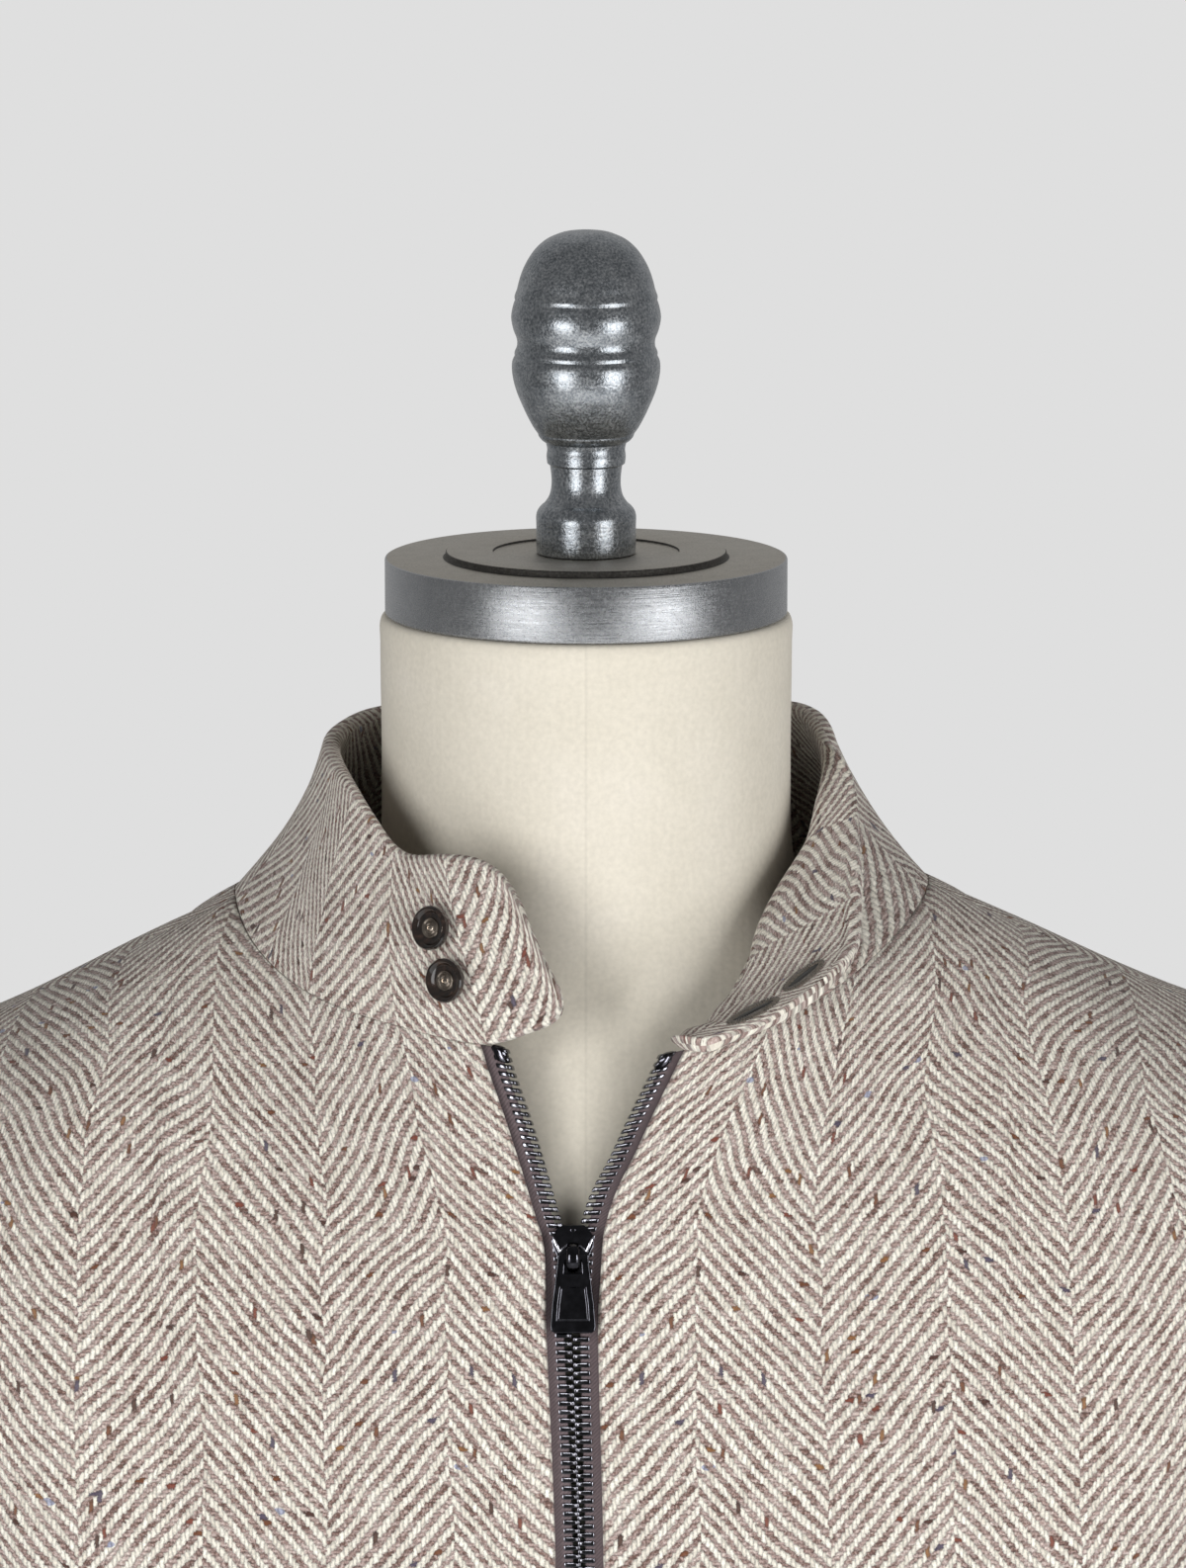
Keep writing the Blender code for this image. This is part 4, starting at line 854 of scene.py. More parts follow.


# Soft troughs (minus) and ridges: start x, drop, end x, drop, half width,
# depth, in mm as seen from the front or the back.
FRONT_CREASES = (
    (-150, 150, -120, 260, 26, 1.2), (-96, 132, -84, 235, 20, -1.1),
    (140, 150, 122, 250, 28, 1.0), (92, 136, 74, 215, 18, -1.6),
    (-186, 300, -120, 352, 22, -2.2), (-192, 336, -128, 402, 18, 1.8),
    (184, 292, 128, 338, 20, -2.0), (190, 330, 120, 408, 22, 2.0),
    (-150, 520, -60, 560, 30, -1.6), (40, 500, 150, 545, 34, -1.8), (-140, 610, -80, 630, 22, 1.2),
)
BACK_CREASES = (
    (-170, 290, -96, 352, 22, -4.4), (174, 286, 104, 356, 20, -4.0),
    (-176, 250, -112, 276, 18, 3.0), (172, 246, 124, 280, 20, 2.8),
    (-130, 500, -20, 522, 26, -4.4), (10, 486, 140, 515, 24, -3.9),
    (-90, 548, 60, 556, 22, 3.3), (-40, 140, 46, 144, 16, -1.6),
    (-60, 235, -84, 420, 24, -2.6), (52, 228, 70, 398, 26, -2.9), (-4, 260, 6, 440, 22, 2.2),
)


def creases(table):
    """A function that gives how far the creases lift each point of a grid, in metres."""
    def lift(points):
        x = points[:, :, 0] / MM
        drop = CAP_FACE_HEIGHT - points[:, :, 2] / MM
        total = np.zeros(x.shape)
        for x0, d0, x1, d1, half_width, depth in table:
            dx, dd = x1 - x0, d1 - d0
            length = math.hypot(dx, dd)
            run = ((x - x0) * dx + (drop - d0) * dd) / length
            away = ((x - x0) * dd - (drop - d0) * dx) / length
            bend = away + 0.12 * length * np.sin(np.clip(run / length, 0, 1) * math.pi)
            beyond = np.maximum(np.maximum(-run, run - length), 0.0)
            near = np.clip(np.abs(bend) / half_width, 0, 1)
            fade = np.clip(beyond / (1.6 * half_width), 0, 1)
            total += depth * (0.5 + 0.5 * np.cos(math.pi * near)) * (1 - fade) ** 2
        return total * MM
    return lift


def build_body(wool):
    """One back and two fronts."""
    for name, side in (("front_right", -1), ("front_left", 1)):
        points, level = body_grid("front", side)
        grid = grained(points, side, (0.0, -1.0, 0.0), level, STRIPE_GAIN)
        grid[:, :, 3] -= FIRST_STRIPE[side] * side * MM
        piece = cloth_shell(f"coat_{name}", grid, CLOTH * MM, (1.5, 0.6, 1.6, 0.6), wool, side,
                            creases(FRONT_CREASES))
        ready(piece, name)
    halves = []
    for side in (1, -1):
        points, level = body_grid("back", side)
        halves.append(grained(points, -side, (0.0, 1.0, 0.0), level, STRIPE_GAIN))
    grid = np.concatenate([halves[0][:, ::-1], halves[1][:, 1:]], axis=1)
    piece = cloth_shell("coat_back_panel", grid, CLOTH * MM, (1.5, 0.6, 0.6, 0.6), wool, 1,
                        creases(BACK_CREASES))
    ready(piece, "back_panel")


def ready(piece, node=None, body=COAT):
    """Says what a finished piece rides on and the solid it stands for."""
    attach(piece, body)
    if node:
        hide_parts(node)
    return piece


# --- the collar -------------------------------------------------------------------------
def corner_cut(distance):
    """How much of the collar's height its rounded corner takes this far from an end."""
    if distance >= COLLAR_CORNER:
        return 0.0
    inside = COLLAR_CORNER - distance
    return (COLLAR_CORNER - math.sqrt(COLLAR_CORNER ** 2 - inside ** 2)) / COLLAR_HEIGHT


@lru_cache(maxsize=None)
def collar_profile(station):
    """Base, low, high and top points of the collar's outer face at a station."""
    rows = []
    rolled = {row[0]: row[1:] for row in COLLAR_ROLL}
    for index, row in enumerate(COLLAR_STATIONS):
        base, top = Vector(row[0:3]), Vector(row[3:6])
        bulge = Vector((base.x + top.x, base.y + top.y, 0.0)).normalized() * row[6]
        between = (*(base.lerp(top, 1 / 3) + bulge), *(base.lerp(top, 2 / 3) + bulge))
        rows.append((*base, *rolled.get(index, between), *top))
    row = smooth_row(rows, station)
    return row[0:3], row[3:6], row[6:9], row[9:12]


def collar_point(station, height):
    """The collar's outer face: height 0 is the neckline seam, 1 the top edge."""
    return spot(*smooth_row(collar_profile(station), 3 * height))


# Where the collar's twill turns: station, and the cloth measure there in stripes.
COLLAR_STRIPES = ((0.0, 0.38), (1.85, 1.0), (3.15, 2.0), (4.55, 3.0), (5.5, 4.0), (6.9, 5.0),
                  (8.6, 6.0), (10.3, 7.0), (12.0, 8.0), (13.7, 9.0), (15.3, 10.0), (17.8, 11.0),
                  (22.0, 12.2))


def build_collar(wool):
    """One stand collar: buttoned tab at the wearer's right, open end at the left."""
    last = len(COLLAR_STATIONS) - 1
    spacing = 14.0            # mm from the first station to the second, and twice the last step
    near_end = 0.82           # columns lie closer towards the ends, for their rounded corners
    ends = [near_end * (1 - math.cos(math.pi / 2 * step / 12)) for step in range(12)]
    open_ends = [last - 2 * station for station in reversed(ends)]
    stations = ends + steps_between(near_end, last - 2 * near_end, 190) + open_ends
    steps = 66
    grid = []
    for station in stations:
        low = max(corner_cut(station * spacing), corner_cut((last - station) * spacing / 2))
        high = 1.0 - low
        grid.append([collar_point(station, low + (high - low) * step / steps)
                     for step in range(steps + 1)])
    points = np.array(grid).transpose(1, 0, 2)
    for turn in range(24):
        # thick cloth has no sharp fold: each point moves towards the middle of its neighbours
        points[1:-1] = 0.5 * points[1:-1] + 0.25 * (points[:-2] + points[2:])
        if turn % 3 == 0:
            points[:, 1:-1] = 0.5 * points[:, 1:-1] + 0.25 * (points[:, :-2] + points[:, 2:])
    # the seam: the collar's lower edge laps a little over the body's upper edge
    points[0] += 0.7 * MM * (points[0] - points[2]) / np.linalg.norm(points[0] - points[2], axis=1,
                                                                     keepdims=True)
    turns = np.interp(stations, *zip(*COLLAR_STRIPES)) * STRIPE * MM
    u = np.broadcast_to(turns[None, :], points.shape[:2])
    v = running(np.linalg.norm(np.diff(points, axis=0), axis=2), 0)
    grid = np.dstack([points, u, v])
    piece = cloth_shell("coat_collar", grid, COLLAR_CLOTH * MM, (0.8, 2.5, 1.6, 2.2), wool, -1,
                        inner_gain=1.42, soften=14)
    ready(piece, "collar")
    inner = points + normals_of(points) * COLLAR_CLOTH * MM

    def inner_face(station, height):
        return Vector(inner[round(height * steps), np.searchsorted(stations, station)])

    build_buttonholes(piece, inner_face)


def build_buttonholes(collar, inner_face):
    """Two worked buttonholes in the open end: twist over both lips of a closed slit."""
    twist = sewing_thread("buttonhole_thread_twisted", "#35302b", "#665e54")
    slit_shadow = sewing_thread("buttonhole_slit_painted_shadow", "#080605", "#15110f")
    deselect_all()
    bpy.ops.mesh.primitive_cylinder_add(vertices=6, radius=0.34 * MM, depth=1.7 * MM,
                                        rotation=(math.pi / 2, 0, 0))
    stitch = finish_piece(bpy.context.object, twist, bevel=0.08, segments=1)
    stitch.data.transform(at(0, 0.85, 0) @ stitch.matrix_world)
    # station and height of the two ends of each slit
    for word, first, last in (("lower", (21.3, 0.48), (21.3, 0.74)),
                              ("upper", (21.0, 0.81), (20.66, 0.89))):
        start, end = inner_face(*first), inner_face(*last)
        middle = (start + end) / 2
        normal = collar.closest_point_on_mesh(middle)[2]
        along_slit = (end - start).normalized()
        up = normal.cross(along_slit)
        half = (end - start).length / 2

        def on_cloth(turn, far):
            """Place and normal on the cloth, at an angle round the slit and this far out."""
            guess = (middle + along_slit * math.cos(turn) * (half + far * MM)
                     + up * math.sin(turn) * (0.95 + far) * MM)
            return collar.closest_point_on_mesh(guess)[1:3]

        bars = []
        for index in range(BUTTONHOLE_BARS):
            turn = 2 * math.pi * (index + 0.5) / BUTTONHOLE_BARS
            turn += 0.32 * math.sin(2 * turn)
            (near, out), (far, _) = on_cloth(turn, 0.05), on_cloth(turn, 1.6)
            way = (far - near).normalized()
            bars.append(((way.cross(out), way, out), near + out * 0.2 * MM))
        ring = copies(f"buttonhole_{word}_twist", stitch, bars, twist)
        ring.data.shade_smooth()
        count = BUTTONHOLE_BARS // 2
        rim = [on_cloth(2 * math.pi * index / count, 0.15) for index in range(count)]
        rim = [place + out * 0.14 * MM for place, out in rim]
        # painted shadow: a near-black sheet fills the slit inside the ring of twist
        slit = mesh_piece(f"buttonhole_{word}_slit", [*rim, middle + normal * 0.2 * MM],
                          [(index, (index + 1) % count, count) for index in range(count)], slit_shadow)
        ready(ring)
        ready(slit)
    bpy.data.objects.remove(stitch)


# --- the sleeves ------------------------------------------------------------------------
def sleeve_point(side, turn, height):
    """The sleeve's outer face: turn 0 is its outer side, 90 front; height 1 is the armhole."""
    turn %= 360.0
    face = "front" if turn <= 180 else "back"
    armhole_share = turn / 180 if turn <= 180 else (360 - turn) / 180
    angle = math.radians(turn)
    top_drop = SLEEVE_RINGS[0][0]

    def ring_at(drop):
        _, x, y, half_thickness, half_width = row_for(SLEEVE_RINGS, drop)
        return Vector((side * (x + half_thickness * math.cos(angle)),
                       y - half_width * math.sin(angle), drop))

    if height <= SLEEVE_HEAD:
        return spot(*ring_at(CUFF_DROP + (top_drop - CUFF_DROP) * height / SLEEVE_HEAD))
    f = (1 - height) / (1 - SLEEVE_HEAD)
    start = armhole_point(face, side, armhole_share)
    end = ring_at(top_drop)
    length = (end - start).length
    under = 0.5 - 0.5 * math.cos(angle)
    leave = Vector((side * (0.62 - 0.12 * under), -0.10 * math.sin(angle), 0.12 + 0.7 * under))
    return spot(*hermite(start, leave * length * (0.62 + 0.3 * under), end,
                         Vector((0, 0, 1)) * length * (0.95 - 0.1 * under), f))


# Sleeve creases: turn, drop, length round the sleeve in degrees, half height, depth, slope.
SLEEVE_CREASES = {
    -1: ((100, 470, 96, 15, -5.2, 0.16), (112, 502, 76, 13, 3.6, 0.10),
         (60, 436, 74, 16, -3.8, -0.14), (86, 548, 84, 18, -4.4, 0.20),
         (250, 455, 84, 17, -4.6, 0.12), (262, 520, 74, 15, 3.2, -0.1),
         (120, 690, 62, 16, -2.6, 0.2), (20, 300, 60, 20, -2.4, 0.3),
         (320, 330, 50, 20, 2.2, -0.3), (236, 610, 56, 18, -2.8, 0.18)),
    1: ((96, 455, 88, 16, -4.7, 0.12), (108, 492, 80, 14, 3.9, 0.18),
        (66, 524, 78, 15, -4.2, -0.1), (92, 574, 70, 17, -3.2, 0.15),
        (246, 470, 90, 16, -4.3, -0.12), (256, 540, 64, 16, 3.3, 0.14),
        (116, 706, 68, 15, -2.9, -0.2), (24, 310, 64, 22, -2.3, -0.3),
        (316, 300, 52, 19, 2.3, 0.3), (268, 640, 50, 19, -2.6, -0.16)),
}


def build_sleeves(wool):
    """Two sleeves, each a top and an under piece."""
    pieces = (("top", BACK_SEAM_TURN - 360, FRONT_SEAM_TURN, (0.27, 0.63), 0.143),
              ("under", FRONT_SEAM_TURN, BACK_SEAM_TURN, (0.14, 0.49), 0.060))
    head_row = 60
    heights = steps_between(0.0, SLEEVE_HEAD, head_row) + steps_between(SLEEVE_HEAD, 1.0, 50)
    heights.append(1.0)
    for word, side in (("right", -1), ("left", 1)):
        for part, first, last, flat, area in pieces:
            turns = steps_between(first, last, round((last - first) / 3.5)) + [last]
            points = np.array([[sleeve_point(side, turn, height) for turn in turns]
                               for height in heights])
            run = np.linalg.norm(np.diff(points[head_row // 2], axis=0), axis=1)
            u = running(np.broadcast_to(run, (len(points), len(run))), 1)
            v = running(np.linalg.norm(np.diff(points, axis=0), axis=2), 0)
            v += (points[head_row, :, 2] - v[head_row])[None, :]
            lift = np.zeros(points.shape[:2])
            drop = CAP_FACE_HEIGHT - points[:, :, 2] / MM
            for turn, middle, length, half, depth, slope in SLEEVE_CREASES[side]:
                away = (np.array(turns) - turn + 180) % 360 - 180
                level = middle + slope * away[None, :]
                near = np.clip(np.abs(drop - level) / half, 0, 1)
                fade = np.clip(np.abs(away) / (length / 2), 0, 1)[None, :]
                lift += depth * (0.5 + 0.5 * np.cos(math.pi * near)) * (1 - fade ** 2) ** 2
            # creases fade out at the cuff and at the armhole
            edge = np.interp(heights, (0.0, 0.06, 0.9, 1.0), (0.0, 1.0, 1.0, 0.0))
            points = points + normals_of(points) * -side * (lift * edge[:, None] * MM)[:, :, None]
            grid = np.dstack([points, u, v])
            name = f"sleeve_{word}_{part}"
            piece = cloth_shell(f"coat_{name}", grid, SLEEVE_CLOTH * MM, (1.3, 0.6, 0.6, 0.6), wool,
                                -side)
            ready(piece, name)


# --- the zip ----------------------------------------------------------------------------
def edge_frame(side, height):
    """A front edge's point, and the ways into the opening, under the cloth, up and out."""
    step = 0.004
    here = body_point("front", side, 0.0, height)
    beside = body_point("front", side, 0.03, height)
    above = body_point("front", side, 0.0, min(height + step, 1.0))
    below = body_point("front", side, 0.0, max(height - step, 0.0))
    under = (beside - here).normalized()
    drop = CAP_FACE_HEIGHT - here.z / MM
    closed = (drop - ZIP_PARTED_DROP) / (ZIP_LEVEL_DROP - ZIP_PARTED_DROP)
    inward = (-under).lerp(Vector((-side, 0.0, 0.0)), min(1.0, max(0.0, closed))).normalized()
    rise = (above - below).normalized()
    out = rise.cross(inward) * side
    return here, inward, under, rise, out.normalized()


def height_at_drop(side, drop):
    """The height parameter at which a front edge is at this drop."""
    low, high = 0.0, 1.0
    for _ in range(30):
        middle = (low + high) / 2
        reached = CAP_FACE_HEIGHT - body_point("front", side, 0.0, middle).z / MM
        low, high = (middle, high) if reached > drop else (low, middle)
    return (low + high) / 2


def zip_place():
    """The slider's frame: its middle, the way up the zip and the way out."""
    right, *_, right_out = edge_frame(-1, height_at_drop(-1, ZIP_OPEN_DROP))
    left, *_, left_out = edge_frame(1, height_at_drop(1, ZIP_OPEN_DROP))
    middle = (right + left) / 2
    out = right_out + left_out
    out = Vector((0.0, out.y, out.z)).normalized()
    rise = Vector((0.0, out.z, -out.y))
    return Matrix.Translation(middle) @ Matrix((
        (1, 0, 0), (0, -out.y, rise.y), (0, -out.z, rise.z))).to_4x4()


def edge_places(side, spacing, start=0.0, whole=False):
    """Frames along a front edge, evenly spaced from the zip's foot towards its top.

    With whole, the spacing gives way a little, so that the last one is right at the top.
    """
    low = height_at_drop(side, ZIP_BOTTOM_DROP)
    high = height_at_drop(side, ZIP_TOP_DROP[side])
    fine = [low + (high - low) * step / 900 for step in range(901)]
    points = [body_point("front", side, 0.0, height) for height in fine]
    lengths = [0.0]
    for a, b in zip(points, points[1:]):
        lengths.append(lengths[-1] + (b - a).length / MM)
    count = int((lengths[-1] - start) / spacing)
    if whole:
        spacing = (lengths[-1] - start) / count
    wanted = [start + spacing * index for index in range(count + 1)]
    heights = np.interp(wanted, lengths, fine)
    return [edge_frame(side, float(height)) for height in heights]


def build_tapes(tape):
    """Two woven tapes with a raised cord under the teeth."""
    half_gap = ZIP_GAP / 2
    # across the tape: reach into the opening (minus is under the cloth), rise of its face
    section = ((-TAPE_UNDER_CLOTH, 0.0), (-4.0, 0.0), (0.0, 0.0), (1.4, 0.0), (2.4, 0.1),
               (3.2, 0.15), (4.2, 0.0), (half_gap - 1.7, -0.2))
    for word, side in (("right", -1), ("left", 1)):
        rows = []
        frames = edge_places(side, TAPE_STEP, whole=True)
        for index, (here, inward, under, _, out) in enumerate(frames):
            base = here - out * TAPE_BEHIND_FACE * MM
            row = []
            for reach, rise in section:
                way = inward * reach if reach > 0 else under * -reach
                place = base + (way + out * rise) * MM
                row.append((*place, side * reach * MM, index * TAPE_STEP * MM))
            rows.append(row)
        piece = cloth_shell(f"tape_{word}", np.array(rows), TAPE_THICKNESS * MM, (0.4,) * 4, tape,
                            -side)
        ready(piece, f"zip_tape_{word}")


def deselect_all():
    """Nothing is selected and nothing is in edit mode."""
    if bpy.context.object and bpy.context.object.mode != 'OBJECT':
        bpy.ops.object.mode_set(mode='OBJECT')
    bpy.ops.object.select_all(action='DESELECT')


def select_faces(thing, wanted):
    """Leaves edit mode with only the faces that the test wants selected, and goes back."""
    bpy.ops.object.mode_set(mode='OBJECT')
    for item in (*thing.data.vertices, *thing.data.edges):
        item.select = False
    for face in thing.data.polygons:
        face.select = bool(wanted(face))
    bpy.ops.object.mode_set(mode='EDIT')
    bpy.ops.mesh.select_mode(type='FACE')


def cube(name, size, middle=(0.0, 0.0, 0.0)):
    """A cube of x, y and z size in mm round a point in mm, left in edit mode."""
    deselect_all()
    bpy.ops.mesh.primitive_cube_add(size=1.0, location=Vector(middle) * MM)
    thing = bpy.context.object
    thing.name = name
    thing.scale = Vector(size) * MM
    bpy.ops.object.transform_apply(location=True, scale=True)
    bpy.ops.object.mode_set(mode='EDIT')
    return thing


def pull_out(move, scale, about):
    """Extrudes the selected faces by a move, then scales them about a point, both in mm."""
    bpy.ops.mesh.extrude_region_move(TRANSFORM_OT_translate={"value": Vector(move) * MM})
    bpy.ops.transform.resize(value=scale, center_override=Vector(about) * MM)


def finish_piece(thing, material, bevel=0.0, segments=2, angle=32.0):
    """Rounds the edges, applies the modifiers, smooths, and gives the piece its material."""
    bpy.ops.object.mode_set(mode='OBJECT')
    deselect_all()
    thing.select_set(True)
    bpy.context.view_layer.objects.active = thing
    if bevel:
        edge = thing.modifiers.new("rounded_edges", 'BEVEL')
        edge.width = bevel * MM
        edge.segments = segments
        edge.limit_method = 'ANGLE'
        edge.angle_limit = math.radians(28)
        edge.use_clamp_overlap = True
        bpy.ops.object.modifier_apply(modifier=edge.name)
    bpy.ops.object.mode_set(mode='EDIT')
    bpy.ops.mesh.select_all(action='SELECT')
    bpy.ops.mesh.normals_make_consistent(inside=False)
    bpy.ops.object.mode_set(mode='OBJECT')
    bpy.ops.object.shade_smooth_by_angle(angle=math.radians(angle))
    thing.data.materials.clear()
    thing.data.materials.append(material)
    return thing


def at(x, y, z):
    """The move to a place in mm, as a matrix."""
    return Matrix.Translation(Vector((x, y, z)) * MM)


def settle(thing, matrix):
    """Puts a finished mesh in its place, with its object at the origin."""
    thing.data.transform(matrix @ thing.matrix_world)
    thing.matrix_world = Matrix.Identity(4)
    return thing


def turned(name, profile, material, segments=96, angle=28.0):
    """Turned on the lathe: a circle is extruded up its profile and scaled at each step.

    Rows are radius and height in mm, from the foot up or the top down.
    """
    deselect_all()
    rows = [(max(radius, 0.02), height) for radius, height in profile]
    bpy.ops.mesh.primitive_circle_add(vertices=segments, radius=rows[0][0] * MM,
                                      location=(0, 0, rows[0][1] * MM), fill_type='NGON')
    thing = bpy.context.object
    thing.name = name
    bpy.ops.object.transform_apply(location=True)
    bpy.ops.object.mode_set(mode='EDIT')
    bpy.ops.mesh.select_all(action='SELECT')
    for (radius, height), (wider, higher) in zip(rows, rows[1:]):
        pull_out((0, 0, higher - height), (wider / radius, wider / radius, 1), (0, 0, higher))
    return finish_piece(thing, material, angle=angle)


def smooth_profile(rows, per_step):
    """More rows on a turned profile, curved between its rows but kept sharp at marked ones."""
    pieces, current = [], [rows[0]]
    for row in rows[1:]:
        current.append(row)
        if row[2]:
            pieces.append(current)
            current = [row]
    pieces.append(current)
    result = []
    for piece in pieces:
        if len(piece) < 2:
            continue
        for index in range((len(piece) - 1) * per_step):
            result.append(smooth_row([row[:2] for row in piece], index / per_step))
    result.append(rows[-1][:2])
    return result


def tooth_mesh(metal):
    """One zip tooth: a clamp on the tape's cord and a rounded head, in the tape's own axes:
    +X into the opening, +Y up the zip, +Z outwards, from the tape's middle plane."""
    tooth = cube("tooth", (2.8, 1.5, 2.8), (-0.4, 0, 0))
    select_faces(tooth, lambda face: face.normal.x > 0.9)
    for move, wide, high, reach in ((0.6, 0.8, 0.9, 1.6), (0.8, 1.4, 1.35, 2.4),
                                    (0.6, 0.75, 0.8, 3.0)):
        pull_out((move, 0, 0), (1, wide, high), (reach, 0, 0))
    finish_piece(tooth, metal, bevel=0.42, segments=2, angle=60)
    return tooth


def build_teeth(metal):
    """Two rows of teeth, staggered by half a pitch, so that they mesh below the slider."""
    tooth = tooth_mesh(metal)
    middle_depth = TAPE_BEHIND_FACE + TAPE_THICKNESS / 2
    base_reach = ZIP_GAP / 2 - TOOTH_CLAMP
    for word, side in (("right", -1), ("left", 1)):
        start = FIRST_TOOTH if side < 0 else FIRST_TOOTH + TOOTH_PITCH / 2
        row = [((inward, rise, out), here - out * middle_depth * MM + inward * base_reach * MM)
               for here, inward, _, rise, out in edge_places(side, TOOTH_PITCH, start)]
        teeth = finish_piece(copies(f"teeth_{word}", tooth, row, metal), metal, angle=40)
        ready(teeth, f"zip_teeth_{word}")
        # glossy stop above the last tooth; its axes follow the side, so it isn't mirrored
        here, inward, _, rise, out = edge_places(side, 1.0, whole=True)[-1]
        stop = block(f"top_stop_{word}", (4.2, 3.2, 5.4), metal_gloss(), bevel=1.1)
        axes = Matrix((inward * side, out, rise)).transposed().to_4x4()
        centre = here - out * middle_depth * MM + inward * (base_reach + 0.3) * MM - rise * 0.002
        settle(stop, Matrix.Translation(centre) @ axes)
        ready(stop)
    bpy.data.objects.remove(tooth)


@lru_cache(maxsize=None)
def metal_gloss():
    """The dark nickel that the slider, the pull, the stops and the box are plated with."""
    return plated("black_nickel_plated", "#2c2c2f", 0.1, "#414146")


def block(name, size, material, bevel=0.3, rows=()):
    """A rounded block of x, y and z size in mm; rows extrude its top: rise, width, depth."""
    thing = cube(name, size)
    top = size[2] / 2
    select_faces(thing, lambda face: face.normal.z > 0.9)
    for rise, width, depth in rows:
        top += rise
        pull_out((0, 0, rise), (width, depth, 1), (0, 0, top))
    return finish_piece(thing, material, bevel=bevel)


def join(first, others):
    """Joins finished pieces into the first."""
    deselect_all()
    for thing in (*others, first):
        thing.select_set(True)
    bpy.context.view_layer.objects.active = first
    bpy.ops.object.join()
    return first


def build_slider(metal, highlight_nickel):
    """The slider: two shield-shaped plates, the post between them, and the pull's bridge."""
    place = zip_place()
    # rows up the shield: rise from the row below, then width and depth as ratios
    shield = ((4.6, 1.0, 1.0), (3.0, 5.75 / 4.4, 1.0), (2.2, 1.0, 1.0), (2.4, 4.7 / 5.75, 0.85),
              (1.2, 2.9 / 4.7, 0.7))
    parts = []
    for name, size, bevel, rows, behind, high in (
            ("slider_body", (8.8, 3.9, 0.2), 0.5, shield, 1.35, -7.9),
            ("slider_back", (8.8, 1.4, 0.2), 0.35, shield, 6.7, -7.9),
            ("slider_post", (1.4, 8.0, 1.6), 0.2, (), 3.6, 3.9)):
        parts.append(settle(block(name, size, metal, bevel=bevel, rows=rows),
                            place @ at(0, behind, high)))
    # a raised V on each shoulder with a painted highlight: the ends of its two arms, in mm from the
    # middle
    wings = []
    for side in (-1, 1):
        for (x0, z0), (x1, z1) in (((5.3, 1.6), (3.8, -2.0)), ((3.8, -2.0), (2.0, -0.3))):
            length = math.hypot(x1 - x0, z1 - z0)
            wing = block(f"slider_wing_{side}", (0.75, 1.0, length + 0.5), highlight_nickel, bevel=0.3)
            lean = Matrix.Rotation(side * math.atan2(x0 - x1, z0 - z1), 4, 'Y')
            middle = at(side * (x0 + x1) / 2, -0.75, (z0 + z1) / 2)
            wings.append(settle(wing, place @ middle @ lean))
    deselect_all()
    bpy.ops.mesh.primitive_torus_add(major_radius=3.6 * MM, minor_radius=0.7 * MM,
                                     major_segments=40, minor_segments=14)
    bridge = finish_piece(bpy.context.object, metal)
    bridge.data.transform(Matrix.Diagonal((1.0, 1.0, 2.6, 1.0)))
    settle(bridge, place @ at(0, -SLIDER_PLATE_FACE, -PULL_AXLE_BELOW_MIDDLE)
           @ Matrix.Rotation(math.pi / 2, 4, 'Y'))
    slider = join(parts[0], [*parts[1:], bridge, *wings])
    ready(slider, "zip_slider")


def build_pull(metal):
    """The pull tab: a tapered tongue with a window for the bridge and a raised panel."""
    width, bottom = 8.6, -0.25
    pull = cube("pull_tab", (width, PULL_THICKNESS, 0.5))
    select_faces(pull, lambda face: face.normal.z < -0.9)
    for drop, wider in ((5.6, 9.8), (1.2, 10.2), (6.5, 11.8), (6.4, 12.8), (1.0, 12.5),
                        (0.7, 10.6)):
        bottom -= drop
        pull_out((0, 0, -drop), (wider / width, 1, 1), (0, 0, bottom))
        width = wider
    # the window: the two big faces beside the axle are inset, and their middles bridged
    select_faces(pull, lambda face: abs(face.normal.y) > 0.9 and -5.8 < face.center.z / MM < -0.3
                 and face.area > 2e-5)
    bpy.ops.mesh.inset(thickness=0.85 * MM, depth=0)
    bpy.ops.transform.resize(value=(0.64, 1, 1), center_override=(0, 0, 0))
    bpy.ops.mesh.bridge_edge_loops()
    # the raised panel on each face
    for way in (-1, 1):
        select_faces(pull, lambda face: face.normal.y * way > 0.9 and face.center.z / MM < -7.2
                     and face.center.z / MM > -18.2)
        bpy.ops.mesh.inset(thickness=1.7 * MM, depth=0)
        bpy.ops.mesh.inset(thickness=0.35 * MM, depth=0.55 * MM)
    finish_piece(pull, metal, bevel=0.28, segments=3)
    lift = 0.5
    settle(pull, zip_place() @ at(0, -(SLIDER_PLATE_FACE + AXLE_ABOVE_PLATE),
                                  lift - PULL_AXLE_BELOW_MIDDLE))
    ready(pull, "zip_pull", body=PULL)


def build_retainer(metal):
    """The box at the zip's foot."""
    foot, *_, out = edge_frame(1, height_at_drop(1, ZIP_BOTTOM_DROP + 5.5))
    box = block("retainer_box", (8.4, 4.2, 9.2), metal, bevel=0.6)
    centre = Vector((0.0, foot.y, foot.z)) - out * (TAPE_BEHIND_FACE + 0.5) * MM
    settle(box, Matrix.Translation(centre))
    ready(box, "zip_retainer")


